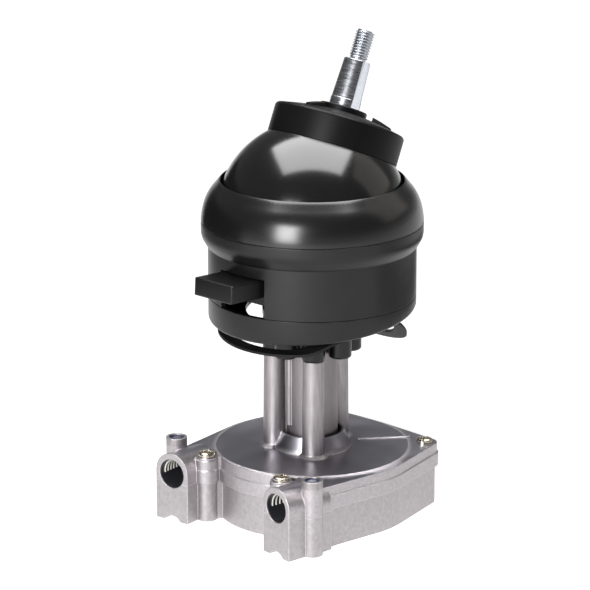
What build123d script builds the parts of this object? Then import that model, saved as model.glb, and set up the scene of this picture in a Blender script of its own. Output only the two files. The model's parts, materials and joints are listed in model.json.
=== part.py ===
from build123d import *
from math import acos, atan2, cos, degrees, hypot, pi, radians, sin, sqrt, tan
import os

# Rotary steering helm with a tilting head.
# Millimetres. +Z runs up the column. The origin is on the column axis, on the flat face under the gearbox.
# -Y is the front, where the two cable ports open and the tilt release lever sticks out.

# Gearbox castings
gearbox_height = 42.0
parting_height = 25.5
front_wall_radius = 61.5
shoulder_radius = 64.8
flank_x = 53.5
flank_y = -62.0
flank_radius = 3.0
lid_grow = 1.2
flange_grow = 2.0
flange_height = 8.5
cavity_radius = 58.3
floor_thickness = 4.0
foot_boss_wall = 3.0
foot_boss_rise = 1.1
ring_seat_wall = 3.5
ring_seat_height = 4.0
lid_thickness = 3.5
crease_radius = 61.5
crease_drop = 0.6
crease_run = 0.8
rim_radius = 66.0
rim_drop = 1.6
lid_rib_x = 26.0
lid_rib_y = 39.8
lid_rib_angle = 50.1
lid_rib_length = 34.0
lid_rib_width = 1.6
lid_rib_rise = 0.8

# Fastening points of the gearbox
lug_x = 46.8
lug_y = 55.6
lug_radius = 7.0
front_boss_x = 32.6
front_boss_y = -62.8
front_boss_radius = 6.6
front_boss_web = 14.0
boss_margin = 0.1
lock_boss_x = 59.2
lock_boss_y = -63.2
lock_boss_radius = 6.6
lock_boss_rise = 6.8
screw_radius = 2.5
screw_clearance = 0.25
screw_head_radius = 5.3
screw_head_height = 3.2
screw_length = 30.0
screw_hole_depth = 18.0
slot_width = 1.4
slot_depth = 1.6
lock_pocket_radius = 4.9
lock_pocket_depth = 6.3
lock_nut_flats = 8.0
lock_nut_height = 4.2
collar_radius = 3.7
collar_height = 1.3
bolt_head_radius = 4.25
bolt_head_height = 3.6
bolt_recess = 0.3
bolt_waist_radius = 1.6
bolt_waist_height = 12.0

# Cable ports
port_x = 45.6
port_y = -81.2
port_angle = 7.45
port_half_width = 12.45
port_arch_rise = 2.8
port_arch_sink = 3.1
port_bore_radius = 9.5
port_bore_height = 31.4
port_length = 34.0
port_wall = 3.0
throat_radius = 7.0
throat_shift = 2.3
throat_length = 22.0
notch_radius = 8.0
notch_sink = 4.6
notch_length = 14.0

# Drum and planetary gears
cable_radius_on_drum = 55.7
cable_radius = 2.5
drum_flange_radius = 57.4
drum_low = 15.0
drum_web = 3.5
drum_rim_wall = 4.0
drum_hub_radius = 13.0
drum_hub_height = 13.0
groove_width = 8.2
groove_flange = 2.0
gear_module = 1.25
sun_teeth = 18
planet_teeth = 18
ring_teeth = 54
planet_count = 3
pressure_angle = radians(20.0)
backlash = 0.24
gear_low = 6.0
gear_height = 8.0
ring_outer_radius = 40.0
ring_height = 10.0
gear_pin_radius = 3.0
gear_pin_head_radius = 4.6
gear_pin_head_height = 1.2
spacer_radius = 5.0
spacer_height = 0.7
running_fit = 0.06
gap = 0.4

# Column cast in one with the lid
tube_radius = 16.4
tube_bore_radius = 10.5
post_radius = 6.7
post_foot_radius = 7.3
post_circle = 24.0
post_top = 105.7
boss_length = 26.8
base_plane_height = post_top + boss_length
base_depth = 10.5
split_height = base_plane_height + base_depth
tube_top = split_height - 1.0
post_angles = (-45.0, 45.0, 180.0)
web_thickness = 3.4
collar_base_radius = 25.0
collar_top_radius = 21.0
collar_inner_radius = 19.0
collar_top = 52.5
groove_floor = 47.0
foot_fillet = 2.0
runner_rib_angle = -17.0
runner_rib_radius = 2.1
runner_rib_low = 57.8
runner_rib_high = 122.0
runner_rib_circle = 16.4
lid_boss_radius = 14.0
lid_boss_drop = 8.0

# Drive shaft in its bushes
drive_radius = 8.0
journal_radius = 6.0
drive_low = 1.8
foot_bush_radius = 9.0
foot_bush_low = 1.5
foot_bush_height = 3.6
lower_bush_low = 30.6
lower_bush_length = 20.0
upper_bush_length = 18.0

# Housing under the head
housing_radius = 65.7
housing_wall = 3.4
base_plane_angle = 5.5
base_floor = 3.5
split_groove = 0.5
housing_edge_round = 2.0
boss_radius = 7.3
boss_count = 8
boss_edge_round = 1.6
tube_clearance = 0.6
floor_opening_inner = 31.6
floor_opening_outer = 42.0
floor_spoke_width = 12.0
window_reach = 10.0
window_half_angle = 16.3
window_height = 25.0
window_top = split_height + window_height
flare_start = 32.5
flare_low = split_height + flare_start
flare_proud = 4.3
flare_radius = housing_radius + flare_proud
flare_height = 11.5
flare_shape = ((0.83, 0.48), (0.45, 0.22))
bezel_seam = 15.3
crease_height = flare_low + bezel_seam
crease_groove = 0.4
post_screw_radius = 2.5
post_screw_head_radius = 4.4
post_screw_head_height = 3.0
post_screw_depth = 18.0

# Bezel round the ball
bezel_rise = 26.5
bezel_gap = 2.0
bezel_lip_width = 0.4
bezel_lip_drop = 0.4
bezel_throat_depth = 4.0
bezel_throat_draft = 0.6
bezel_skirt_depth = 11.5
bezel_skirt_inset = 0.7
bezel_foot_height = 6.0
bezel_shape = ((0.96, 0.2), (0.85, 0.42), (0.61, 0.66), (0.42, 0.78), (0.16, 0.92), (0.0, 1.0))

# Gasket between the housing and the dash
gasket_radius = 60.0
gasket_hole_radius = 52.0
gasket_thickness = 1.6
gasket_front_start = 26.0
gasket_front_bend = 20.0
gasket_front_angle = 26.0
gasket_front_run = 7.6
gasket_back_start = 6.0
gasket_back_bend = 26.0
gasket_back_angle = 34.0
gasket_back_run = 50.0

# Head: everything below is measured from the ball centre, along the steering axis
head_rise = 50.2
ball_height = split_height + head_rise
rest_tilt = 24.0
tilt_step = 12.0
ball_radius = 60.6
ball_wall = 2.5
ball_edge_angle = 93.5
ball_hole_radius = 17.0
cap_radius = 42.0
cap_low = 44.0
cap_top = 63.0
cap_wall = 3.0
cap_roof = 4.0
cap_edge_round = 2.4
cap_crown = 5.0
cap_rib_circle = 26.3
cap_rib_length = 12.5
cap_rib_width = 5.0
cap_rib_rise = 3.6
cap_rib_start = 30.0
cap_screw_circle = 30.0
cap_screw_radius = 2.0
cap_screw_head_radius = 3.6
cap_screw_head_height = 2.2
cap_screw_depth = 8.0
hub_disc_radius = 15.3
hub_disc_seat = 3.0
hub_disc_height = 7.7
hub_disc_bore = 11.6
hub_disc_recess = 2.4
hub_disc_recess_radius = 13.0
frame_hub_radius = 20.0
frame_low = 22.0
frame_flange_radius = 36.0
frame_flange_low = 36.5
beam_low = 24.0
beam_high = 33.0
beam_half_width = 9.0
ear_inner = 38.0
ear_outer = 43.5
pivot_radius = 4.0
pivot_fit = 0.05
pivot_ear_radius = 9.0
cradle_inner = 44.2
cradle_outer = 50.0
cradle_ring_inner = 17.2
cradle_ring_outer = 30.5
cradle_height = 8.5
cradle_deck = base_plane_height + cradle_height
land_thickness = 2.5
bearing_outer_radius = 15.0
bearing_shoulder_radius = 11.0
bearing_low = 26.0
bearing_height = 12.0
shaft_radius = 9.0
sector_radius = 44.0
sector_inner = 27.0
sector_x_low = 26.0
sector_x_high = 32.0
notch_count = 5
notch_depth = 3.2
notch_mouth = 4.6
pawl_angle = 50.0

# Wheel shaft
taper_large_radius = 9.525
taper_ratio = 1.0 / 24.0
taper_low = 76.0
taper_high = 101.5
seat_low = 63.4
thread_radius = 6.1
thread_high = 121.0
thread_chamfer = 1.1
thread_relief = 0.5
flat_half_angle = 22.0
thread_flat = 4.3
seat_radius = 9.8
flat_low = 67.8
snap_groove_radius = 8.1
snap_ring_radius = 11.4
snap_ring_height = 1.2

# Universal joint at the ball centre
yoke_hub_radius = 10.5
yoke_hub_near = 8.6
yoke_hub_far = 18.0
yoke_arm_inner = 5.9
yoke_arm_outer = 9.5
yoke_arm_half_width = 4.0
yoke_bore_radius = 8.0
yoke_roof = 1.0
joint_ball_radius = 5.2
joint_pin_radius = 2.0
joint_gap = 0.4

# Release lever
lever_half_width = 16.0
lever_tip = 89.2
lever_thickness = 11.4
lever_rise = 14.5
lever_tip_low = split_height + lever_rise
lever_slope = 3.3
lever_slab_back = 57.5
lever_round = 0.8
lever_arm_inner = 12.5
lever_arm_outer = 16.5
lever_arm_height = 7.0
lever_pivot_y = -6.0
lever_pivot_rise = 11.0
lever_pivot_z = cradle_deck + lever_pivot_rise
lever_pin_radius = 2.0
lever_bridge_back = 50.0
lever_bridge_low = lever_pivot_z - 2.0
lever_bridge_high = lever_pivot_z + 6.0
lug_inner = 17.4
lug_outer = 21.4
lug_half_width = 5.0
pawl_half_width = 2.0
pawl_margin = 0.5
pawl_clear = 0.5
pawl_low = 49.0
pawl_high = 55.0
pawl_bar_half_width = 3.5
spring_radius = 3.2
spring_wire_radius = 0.45
spring_turns = 2
spring_pitch = 1.15
spring_start = 9.5
lever_pin_inner = 9.0

# Places worked out from the sizes above
lug_places = ((lug_x, lug_y), (-lug_x, lug_y))
front_boss_places = ((front_boss_x, front_boss_y), (-front_boss_x, front_boss_y))
lock_boss_places = ((lock_boss_x, lock_boss_y), (-lock_boss_x, lock_boss_y))
lid_screw_places = lug_places + front_boss_places
clearance_radius = screw_radius + screw_clearance
post_hole_radius = post_screw_radius + screw_clearance
post_places = [(post_circle * sin(radians(a)), -post_circle * cos(radians(a))) for a in post_angles]
bezel_lip_height = crease_height + bezel_rise
bezel_inner_radius = sqrt(ball_radius**2 - (bezel_lip_height - ball_height) ** 2) + bezel_gap
bezel_lip_radius = bezel_inner_radius + bezel_lip_width
gear_centres = gear_module * (sun_teeth + planet_teeth) / 2
tilt = radians(rest_tilt)
head = Plane(origin=(0, 0, ball_height), x_dir=(1, 0, 0), z_dir=(0, sin(tilt), cos(tilt)))
head_section = Plane(origin=(0, 0, ball_height), x_dir=(1, 0, 0), z_dir=(0, -cos(tilt), sin(tilt)))
head_axis = Axis((0, 0, ball_height), (0, sin(tilt), cos(tilt)))
slope = tan(radians(base_plane_angle))
base_plane = Plane(
    origin=(0, 0, base_plane_height),
    x_dir=(1, 0, 0),
    z_dir=(0, -slope, 1),
)


def turn(outline, plane=Plane.XZ, axis=Axis.Z, mode=Mode.ADD):
    with BuildSketch(plane) as profile:
        with BuildLine():
            Polyline(*outline, close=True)
        make_face()
    revolve(profile.sketch, axis=axis, mode=mode)


def rod(radius, low, high, places=((0, 0),), plane=Plane.XY, mode=Mode.ADD):
    with BuildSketch(plane.offset(low)) as profile:
        with Locations(*places):
            Circle(radius)
    extrude(profile.sketch, amount=high - low, mode=mode)


def slab(x_low, x_high, y_low, y_high, low, high, plane=Plane.XY, mode=Mode.ADD):
    with BuildSketch(plane.offset(low)) as profile:
        with Locations(((x_low + x_high) / 2, (y_low + y_high) / 2)):
            Rectangle(x_high - x_low, y_high - y_low)
    extrude(profile.sketch, amount=high - low, mode=mode)


def gear_outline(teeth, root, tip, thinning, turned=0.0):
    pitch = gear_module * teeth / 2
    base = pitch * cos(pressure_angle)
    steps = 5
    start = max(root, base)
    half_at_pitch = pi / (2 * teeth) + tan(pressure_angle) - pressure_angle - thinning / (2 * pitch)

    def half_angle(radius):
        angle = acos(min(1.0, base / max(radius, base)))
        return half_at_pitch - (tan(angle) - angle)

    radii = [start + (tip - start) * i / steps for i in range(steps + 1)]
    if root < base:
        radii.insert(0, root)
    points = []
    for tooth in range(teeth):
        centre = radians(turned) + 2 * pi * tooth / teeth
        rising = [(r, centre - half_angle(r)) for r in radii]
        falling = [(r, centre + half_angle(r)) for r in reversed(radii)]
        points += [(r * cos(a), r * sin(a)) for r, a in rising + falling]
    return points


def gear(teeth, root, tip, low, high, thinning=backlash / 2, turned=0.0, centre=(0, 0), mode=Mode.ADD):
    with BuildSketch(Plane.XY.offset(low)) as profile:
        with Locations(centre):
            Polygon(*gear_outline(teeth, root, tip, thinning, turned), align=None)
    extrude(profile.sketch, amount=high - low, mode=mode)


# Plan outline: round front wall, straight flanks behind the ports, and shoulders out to the rear lugs
def gearbox_outline(plane, grow=0.0):
    with BuildSketch(plane) as outline:
        Circle(shoulder_radius + grow)
        with Locations(*lug_places):
            Circle(lug_radius + grow)
        with Locations((flank_x, flank_y), (-flank_x, flank_y)):
            Circle(flank_radius + grow)
        make_hull()
        front_half_width = port_x - port_half_width + port_wall
        with Locations((0, -shoulder_radius)):
            Rectangle(2 * front_half_width, shoulder_radius + 2 * lock_boss_radius, mode=Mode.SUBTRACT)
        Circle(front_wall_radius + grow)
        with Locations(*lock_boss_places):
            Circle(lock_boss_radius)
        with Locations(*front_boss_places):
            Circle(front_boss_radius + grow / 2)
        for x, y in front_boss_places:
            with Locations(Location((x * 0.9, y * 0.9), degrees(atan2(y, x)))):
                Rectangle(front_boss_web, front_boss_radius)
    return outline.sketch


# A plane in each mouth, with local x across it, y up, and z running into the gearbox
def port_planes(height):
    planes = []
    for side in (1, -1):
        inward = (side * sin(radians(port_angle)), cos(radians(port_angle)), 0)
        across = (-inward[1], inward[0], 0)
        planes.append(Plane(origin=(side * port_x, port_y, height), x_dir=across, z_dir=inward))
    return planes


def port_bores():
    for side, plane in zip((1, -1), port_planes(port_bore_height)):
        with BuildSketch(plane) as mouth:
            Circle(port_bore_radius)
        extrude(mouth.sketch, amount=port_length, mode=Mode.SUBTRACT)
        with BuildSketch(plane.offset(port_length - 1)) as throat:
            with Locations((side * throat_shift, 0)):
                Circle(throat_radius)
        extrude(throat.sketch, amount=throat_length, mode=Mode.SUBTRACT)


# Lower casting of the gearbox
with BuildPart() as gearbox_base:
    extrude(gearbox_outline(Plane.XY), amount=parting_height)
    for plane in port_planes(0):
        with BuildSketch(plane) as block:
            with Locations((0, parting_height / 2)):
                Rectangle(2 * port_half_width, parting_height)
        extrude(block.sketch, amount=port_length)
    rod(cavity_radius, floor_thickness, parting_height, mode=Mode.SUBTRACT)
    rod(foot_bush_radius + foot_boss_wall, floor_thickness, floor_thickness + foot_boss_rise)
    rod(foot_bush_radius, foot_bush_low, floor_thickness + foot_boss_rise, mode=Mode.SUBTRACT)
    turn(
        (
            (ring_outer_radius, floor_thickness),
            (ring_outer_radius + ring_seat_wall, floor_thickness),
            (ring_outer_radius + ring_seat_wall, floor_thickness + ring_seat_height),
            (ring_outer_radius, floor_thickness + ring_seat_height),
        )
    )
    port_bores()
    for plane in port_planes(0):
        with BuildSketch(plane) as notch:
            with Locations((0, -notch_sink)):
                Circle(notch_radius)
        extrude(notch.sketch, amount=notch_length, mode=Mode.SUBTRACT)
    screw_hole_low = parting_height - screw_hole_depth
    rod(screw_radius, screw_hole_low, parting_height, lid_screw_places, mode=Mode.SUBTRACT)
    rod(clearance_radius, 0, parting_height, lock_boss_places, mode=Mode.SUBTRACT)
    rod(bolt_head_radius + gap, 0, bolt_head_height + bolt_recess, lock_boss_places, mode=Mode.SUBTRACT)
gearbox_base.part.label = "gearbox_base"

# Upper casting: the lid with its column, posts and webs
flange_top = parting_height + flange_height
with BuildPart() as gearbox_lid:
    extrude(gearbox_outline(Plane.XY.offset(parting_height), flange_grow), amount=flange_height)
    extrude(gearbox_outline(Plane.XY.offset(flange_top), lid_grow), amount=gearbox_height - flange_top)
    # The top steps down at the round crease and slopes away outside it
    turn(
        (
            (crease_radius, gearbox_height + 1.0),
            (crease_radius, gearbox_height),
            (crease_radius + crease_run, gearbox_height - crease_drop),
            (rim_radius, gearbox_height - rim_drop),
            (2 * rim_radius, gearbox_height - rim_drop),
            (2 * rim_radius, gearbox_height + 1.0),
        ),
        mode=Mode.SUBTRACT,
    )
    rod(front_boss_radius + boss_margin, parting_height, gearbox_height, front_boss_places)
    rod(lock_boss_radius + boss_margin, parting_height, gearbox_height + lock_boss_rise, lock_boss_places)
    # Arched roofs of the two ports, sinking into the lid as they run back
    arch_centre = port_arch_rise + gearbox_height - port_half_width - parting_height
    for plane in port_planes(parting_height):
        sections = []
        for depth, sink in ((0, 0), (port_length, port_arch_sink)):
            with BuildSketch(plane.offset(depth)) as section:
                with BuildLine():
                    spring = arch_centre - sink
                    Polyline((-port_half_width, spring), (-port_half_width, 0), (port_half_width, 0),
                             (port_half_width, spring))
                    ThreePointArc((port_half_width, spring), (0, spring + port_half_width),
                                  (-port_half_width, spring))
                make_face()
            sections.append(section.sketch.face())
        loft(sections)
    rod(cavity_radius, parting_height, gearbox_height - lid_thickness, mode=Mode.SUBTRACT)
    rod(lid_boss_radius, gearbox_height - lid_thickness - lid_boss_drop, gearbox_height)
    port_bores()
    # Collar round the foot of the tube
    turn(
        (
            (0, gearbox_height - 1.0),
            (collar_base_radius, gearbox_height - 1.0),
            (collar_base_radius, gearbox_height + 1.0),
            (collar_top_radius, collar_top - 1.5),
            (collar_top_radius - 0.6, collar_top),
            (collar_inner_radius, collar_top),
            (collar_inner_radius, groove_floor),
            (0, groove_floor),
        )
    )
    rod(tube_radius, gearbox_height, tube_top)
    for x, y in post_places:
        with BuildSketch(Plane.XY.offset(gearbox_height - 1.0)) as foot:
            with Locations((x, y)):
                Circle(post_foot_radius)
        with BuildSketch(Plane.XY.offset(post_top)) as crown:
            with Locations((x, y)):
                Circle(post_radius)
        loft([foot.sketch.face(), crown.sketch.face()])
        with BuildSketch(Plane.XY.offset(gearbox_height)) as flare:
            with Locations((x, y)):
                Circle(post_foot_radius + foot_fillet)
        extrude(flare.sketch, amount=foot_fillet, taper=45)
        with BuildSketch(Plane.XY.offset(gearbox_height + 2.0)) as web:
            with Locations(Location((x / 2, y / 2), degrees(atan2(y, x)))):
                Rectangle(post_circle, web_thickness)
        extrude(web.sketch, amount=post_top - gearbox_height - 4.0)
    # Half-round casting rib down the tube
    rib_place = Location(
        (
            runner_rib_circle * sin(radians(runner_rib_angle)),
            -runner_rib_circle * cos(radians(runner_rib_angle)),
        )
    )
    with BuildSketch(Plane.XY.offset(runner_rib_low)) as runner:
        with Locations(rib_place):
            Circle(runner_rib_radius)
    extrude(runner.sketch, amount=runner_rib_high - runner_rib_low)
    # Low rib across the lid towards one lug
    with BuildSketch(Plane.XY.offset(gearbox_height - rim_drop)) as lid_rib:
        with Locations(Location((lid_rib_x, lid_rib_y), lid_rib_angle)):
            Rectangle(lid_rib_length, lid_rib_width)
    extrude(lid_rib.sketch, amount=rim_drop + lid_rib_rise)
    rod(tube_bore_radius, gearbox_height - lid_thickness - lid_boss_drop, tube_top, mode=Mode.SUBTRACT)
    rod(clearance_radius, parting_height, gearbox_height + 1.0, lid_screw_places, mode=Mode.SUBTRACT)
    lock_top = gearbox_height + lock_boss_rise
    rod(clearance_radius, parting_height, lock_top, lock_boss_places, mode=Mode.SUBTRACT)
    rod(lock_pocket_radius, lock_top - lock_pocket_depth, lock_top, lock_boss_places, mode=Mode.SUBTRACT)
    rod(post_screw_radius, post_top - post_screw_depth, post_top, post_places, mode=Mode.SUBTRACT)
gearbox_lid.part.label = "gearbox_lid"


# Screws that hold the lid down
with BuildPart() as lid_screws:
    for places, seat in (
        (lug_places, gearbox_height - rim_drop),
        (front_boss_places, gearbox_height),
    ):
        head_top = seat + screw_head_height
        rod(screw_head_radius, seat, head_top, places)
        rod(screw_radius, head_top - screw_length, seat, places)
        with BuildSketch(Plane.XY.offset(head_top - slot_depth)) as slots:
            with Locations(*places):
                Rectangle(2 * screw_head_radius + 1.0, slot_width)
                Rectangle(slot_width, screw_head_radius)
        extrude(slots.sketch, amount=slot_depth, mode=Mode.SUBTRACT)
lid_screws.part.label = "lid_screws"

# Bolts, nuts and nylon collars that clamp the castings beside the ports; the bolts are waisted by the bores
nut_low = lock_top - lock_pocket_depth
bolt_top = nut_low + lock_nut_height + collar_height
waist_low = port_bore_height - bolt_waist_height / 2
with BuildPart() as lock_bolts:
    rod(bolt_head_radius, bolt_recess, bolt_recess + bolt_head_height, lock_boss_places)
    rod(screw_radius, bolt_recess, waist_low, lock_boss_places)
    rod(bolt_waist_radius, waist_low, waist_low + bolt_waist_height, lock_boss_places)
    rod(screw_radius, waist_low + bolt_waist_height, bolt_top, lock_boss_places)
    with BuildSketch(Plane.XY.offset(bolt_recess)) as sockets:
        with Locations(*lock_boss_places):
            RegularPolygon(screw_radius, 6)
    extrude(sockets.sketch, amount=slot_depth, mode=Mode.SUBTRACT)
lock_bolts.part.label = "port_lock_bolts"

with BuildPart() as lock_nuts:
    with BuildSketch(Plane.XY.offset(nut_low)) as hexagons:
        with Locations(*lock_boss_places):
            RegularPolygon(lock_nut_flats / 2, 6, major_radius=False)
            Circle(screw_radius, mode=Mode.SUBTRACT)
    extrude(hexagons.sketch, amount=lock_nut_height)
lock_nuts.part.label = "port_lock_nuts"

with BuildPart() as nylon_collars:
    with BuildSketch(Plane.XY.offset(nut_low + lock_nut_height)) as rings:
        with Locations(*lock_boss_places):
            Circle(collar_radius)
            Circle(screw_radius, mode=Mode.SUBTRACT)
    extrude(rings.sketch, amount=collar_height)
nylon_collars.part.label = "nylon_collars"

# Planetary reduction: fixed ring, sun on the drive shaft, three planets carried by the drum
ring_pitch = gear_module * ring_teeth / 2
sun_pitch = gear_module * sun_teeth / 2
planet_pitch = gear_module * planet_teeth / 2
tooth_root = 1.25 * gear_module
with BuildPart() as ring_gear:
    rod(ring_outer_radius, floor_thickness, floor_thickness + ring_height)
    gear(
        ring_teeth,
        ring_pitch - gear_module,
        ring_pitch + tooth_root,
        floor_thickness,
        floor_thickness + ring_height,
        thinning=-backlash / 2,
        turned=180.0 / ring_teeth,
        mode=Mode.SUBTRACT,
    )
ring_gear.part.label = "ring_gear"

planets = []
for number in range(planet_count):
    around = 360.0 * number / planet_count
    centre = (gear_centres * cos(radians(around)), gear_centres * sin(radians(around)))
    with BuildPart() as planet:
        gear(
            planet_teeth,
            planet_pitch - tooth_root,
            planet_pitch + gear_module,
            gear_low,
            gear_low + gear_height,
            turned=around + 180.0 / planet_teeth,
            centre=centre,
        )
        rod(spacer_radius, gear_low + gear_height, gear_low + gear_height + spacer_height, [centre])
        rod(gear_pin_radius + running_fit, 0, drum_low, [centre], mode=Mode.SUBTRACT)
    planet.part.label = f"planet_gear_{number + 1}"
    planets.append(planet)

pin_places = [
    (
        gear_centres * cos(2 * pi * number / planet_count),
        gear_centres * sin(2 * pi * number / planet_count),
    )
    for number in range(planet_count)
]
with BuildPart() as planet_pins:
    pin_low = gear_low - gap - gear_pin_head_height
    rod(gear_pin_head_radius, pin_low, pin_low + gear_pin_head_height, pin_places)
    rod(gear_pin_radius, pin_low, drum_low + drum_web, pin_places)
planet_pins.part.label = "planet_pins"

groove_radius = cable_radius_on_drum - cable_radius
groove_low = port_bore_height - groove_width / 2
groove_high = port_bore_height + groove_width / 2
drum_bore = drive_radius + running_fit
with BuildPart() as cable_drum:
    turn(
        (
            (drum_bore, drum_low),
            (groove_radius, drum_low),
            (groove_radius, groove_low - groove_flange),
            (drum_flange_radius, groove_low - groove_flange),
            (drum_flange_radius, groove_low),
            (groove_radius, groove_low),
            (groove_radius, groove_high),
            (drum_flange_radius, groove_high),
            (drum_flange_radius, groove_high + groove_flange),
            (groove_radius - drum_rim_wall, groove_high + groove_flange),
            (groove_radius - drum_rim_wall, drum_low + drum_web),
            (drum_hub_radius, drum_low + drum_web),
            (drum_hub_radius, drum_low + drum_hub_height),
            (drum_bore, drum_low + drum_hub_height),
        )
    )
    rod(gear_pin_radius, drum_low, drum_low + drum_web, pin_places, mode=Mode.SUBTRACT)
cable_drum.part.label = "cable_drum"

# Bushes that the drive shaft turns in
bushes = []
for label, inner, outer, low, length in (
    ("foot_bush", journal_radius, foot_bush_radius, foot_bush_low, foot_bush_height),
    ("lower_bush", drive_radius, tube_bore_radius, lower_bush_low, lower_bush_length),
    ("upper_bush", drive_radius, tube_bore_radius, tube_top - upper_bush_length, upper_bush_length),
):
    with BuildPart() as bush:
        rod(outer, low, low + length)
        rod(inner + running_fit, low, low + length, mode=Mode.SUBTRACT)
    bush.part.label = label
    bushes.append(bush)

# Drive shaft with the sun gear cut on its foot
with BuildPart() as drive_shaft:
    rod(journal_radius, drive_low, gear_low)
    gear(sun_teeth, sun_pitch - tooth_root, sun_pitch + gear_module, gear_low, gear_low + gear_height)
    rod(drive_radius, gear_low + gear_height, ball_height - yoke_hub_near - yoke_roof)
drive_shaft.part.label = "drive_shaft"


# A fork of the universal joint: local z runs from the joint centre to the hub, local x is the pin
def yoke(plane):
    rod(yoke_hub_radius, yoke_hub_near, yoke_hub_far, plane=plane)
    for side in (1, -1):
        low, high = sorted((side * yoke_arm_inner, side * yoke_arm_outer))
        slab(low, high, -yoke_arm_half_width, yoke_arm_half_width, 0, yoke_hub_near, plane=plane)
        ear = Plane(
            origin=plane.origin + plane.x_dir * low,
            x_dir=plane.y_dir,
            z_dir=plane.x_dir,
        )
        rod(yoke_arm_half_width, 0, yoke_arm_outer - yoke_arm_inner, plane=ear)
        rod(joint_pin_radius, 0, yoke_arm_outer - yoke_arm_inner, plane=ear, mode=Mode.SUBTRACT)
    rod(yoke_bore_radius, yoke_hub_near + yoke_roof, yoke_hub_far, plane=plane, mode=Mode.SUBTRACT)


with BuildPart() as lower_yoke:
    yoke(Plane(origin=(0, 0, ball_height), x_dir=(1, 0, 0), z_dir=(0, 0, -1)))
lower_yoke.part.label = "lower_yoke"

pin_line = Plane(origin=(0, 0, ball_height), x_dir=(0, 1, 0), z_dir=(1, 0, 0))
with BuildPart() as joint_centre:
    rod(joint_pin_radius, -yoke_arm_outer, yoke_arm_outer, plane=pin_line)
    with Locations((0, 0, ball_height)):
        Sphere(joint_ball_radius)
joint_centre.part.label = "joint_centre"

# Housing under the head: a wedge-shaped base that drops towards the front, and the round body on it
housing_inner = housing_radius - housing_wall
big = 2 * housing_radius
with BuildPart() as base_cavity:
    rod(housing_inner, base_plane_height - base_depth, split_height + base_depth)
    slab(-big, big, -big, big, -big, base_floor, plane=base_plane, mode=Mode.SUBTRACT)

boss_places = [
    (post_circle * sin(2 * pi * k / boss_count), -post_circle * cos(2 * pi * k / boss_count))
    for k in range(boss_count)
]
with BuildPart() as boss_ring:
    rod(boss_radius, post_top, base_plane_height + base_depth, boss_places)
    fillet(boss_ring.edges().group_by(Axis.Z)[0], boss_edge_round)
    slab(-big, big, -big, big, base_floor / 2, big, plane=base_plane, mode=Mode.SUBTRACT)

with BuildPart() as housing_base:
    rod(housing_radius, base_plane_height - base_depth, split_height)
    slab(-big, big, -big, big, -big, 0, plane=base_plane, mode=Mode.SUBTRACT)
    fillet(
        housing_base.edges().filter_by(GeomType.ELLIPSE).sort_by(SortBy.LENGTH)[-1],
        housing_edge_round,
    )
    add(base_cavity.part, mode=Mode.SUBTRACT)
    with BuildSketch(Plane.XY.offset(base_plane_height - base_depth)) as openings:
        Circle(floor_opening_outer)
        Circle(floor_opening_inner, mode=Mode.SUBTRACT)
        Rectangle(big, floor_spoke_width, mode=Mode.SUBTRACT)
        Rectangle(floor_spoke_width, big, mode=Mode.SUBTRACT)
    extrude(openings.sketch, amount=2 * base_depth, mode=Mode.SUBTRACT)
    add(boss_ring.part)
    rod(tube_radius + tube_clearance, post_top - 1, split_height + base_depth, mode=Mode.SUBTRACT)
    rod(post_hole_radius, post_top - 1, split_height, post_places, mode=Mode.SUBTRACT)
housing_base.part.label = "housing_base"

with BuildPart() as tilt_housing:
    with BuildSketch(Plane.XZ) as section:
        with BuildLine():
            flare_top = (flare_radius, flare_low + flare_height)
            flare_curve = [
                (housing_radius + out * flare_proud, flare_low + up * flare_height) for out, up in flare_shape
            ]
            Polyline(
                (housing_radius, flare_low),
                (housing_radius, split_height + split_groove),
                (housing_radius - split_groove, split_height),
                (housing_inner, split_height),
                (housing_inner, crease_height),
                (flare_radius - crease_groove, crease_height),
                (flare_radius, crease_height - crease_groove),
                flare_top,
            )
            flare_foot = (housing_radius, flare_low)
            Spline(flare_top, *flare_curve, flare_foot, tangents=((0, -1), (-0.8, -0.6)))
        make_face()
    revolve(section.sketch, axis=Axis.Z)
    window_half_width = housing_radius * sin(radians(window_half_angle))
    slab(
        -window_half_width,
        window_half_width,
        -housing_radius - 1,
        -housing_inner + window_reach,
        split_height,
        window_top,
        mode=Mode.SUBTRACT,
    )
tilt_housing.part.label = "tilt_housing"

with BuildPart() as bezel_ring:
    bezel_foot = (flare_radius, crease_height + crease_groove)
    bezel_width = flare_radius - bezel_lip_radius
    bezel_curve = [
        (bezel_lip_radius + out * bezel_width, crease_height + up * bezel_rise) for out, up in bezel_shape
    ]
    with BuildSketch(Plane.XZ) as section:
        with BuildLine():
            Spline(bezel_foot, *bezel_curve, tangents=((0, 1), (-0.8, 0.6)))
            Polyline(
                bezel_curve[-1],
                (bezel_inner_radius, bezel_lip_height - bezel_lip_drop),
                (bezel_inner_radius + bezel_throat_draft, bezel_lip_height - bezel_throat_depth),
                (housing_inner - bezel_skirt_inset, bezel_lip_height - bezel_skirt_depth),
                (housing_inner + bezel_throat_draft, crease_height + bezel_foot_height),
                (housing_inner + bezel_throat_draft, crease_height),
                (flare_radius - crease_groove, crease_height),
                bezel_foot,
            )
        make_face()
    revolve(section.sketch, axis=Axis.Z)
bezel_ring.part.label = "bezel_ring"

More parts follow.
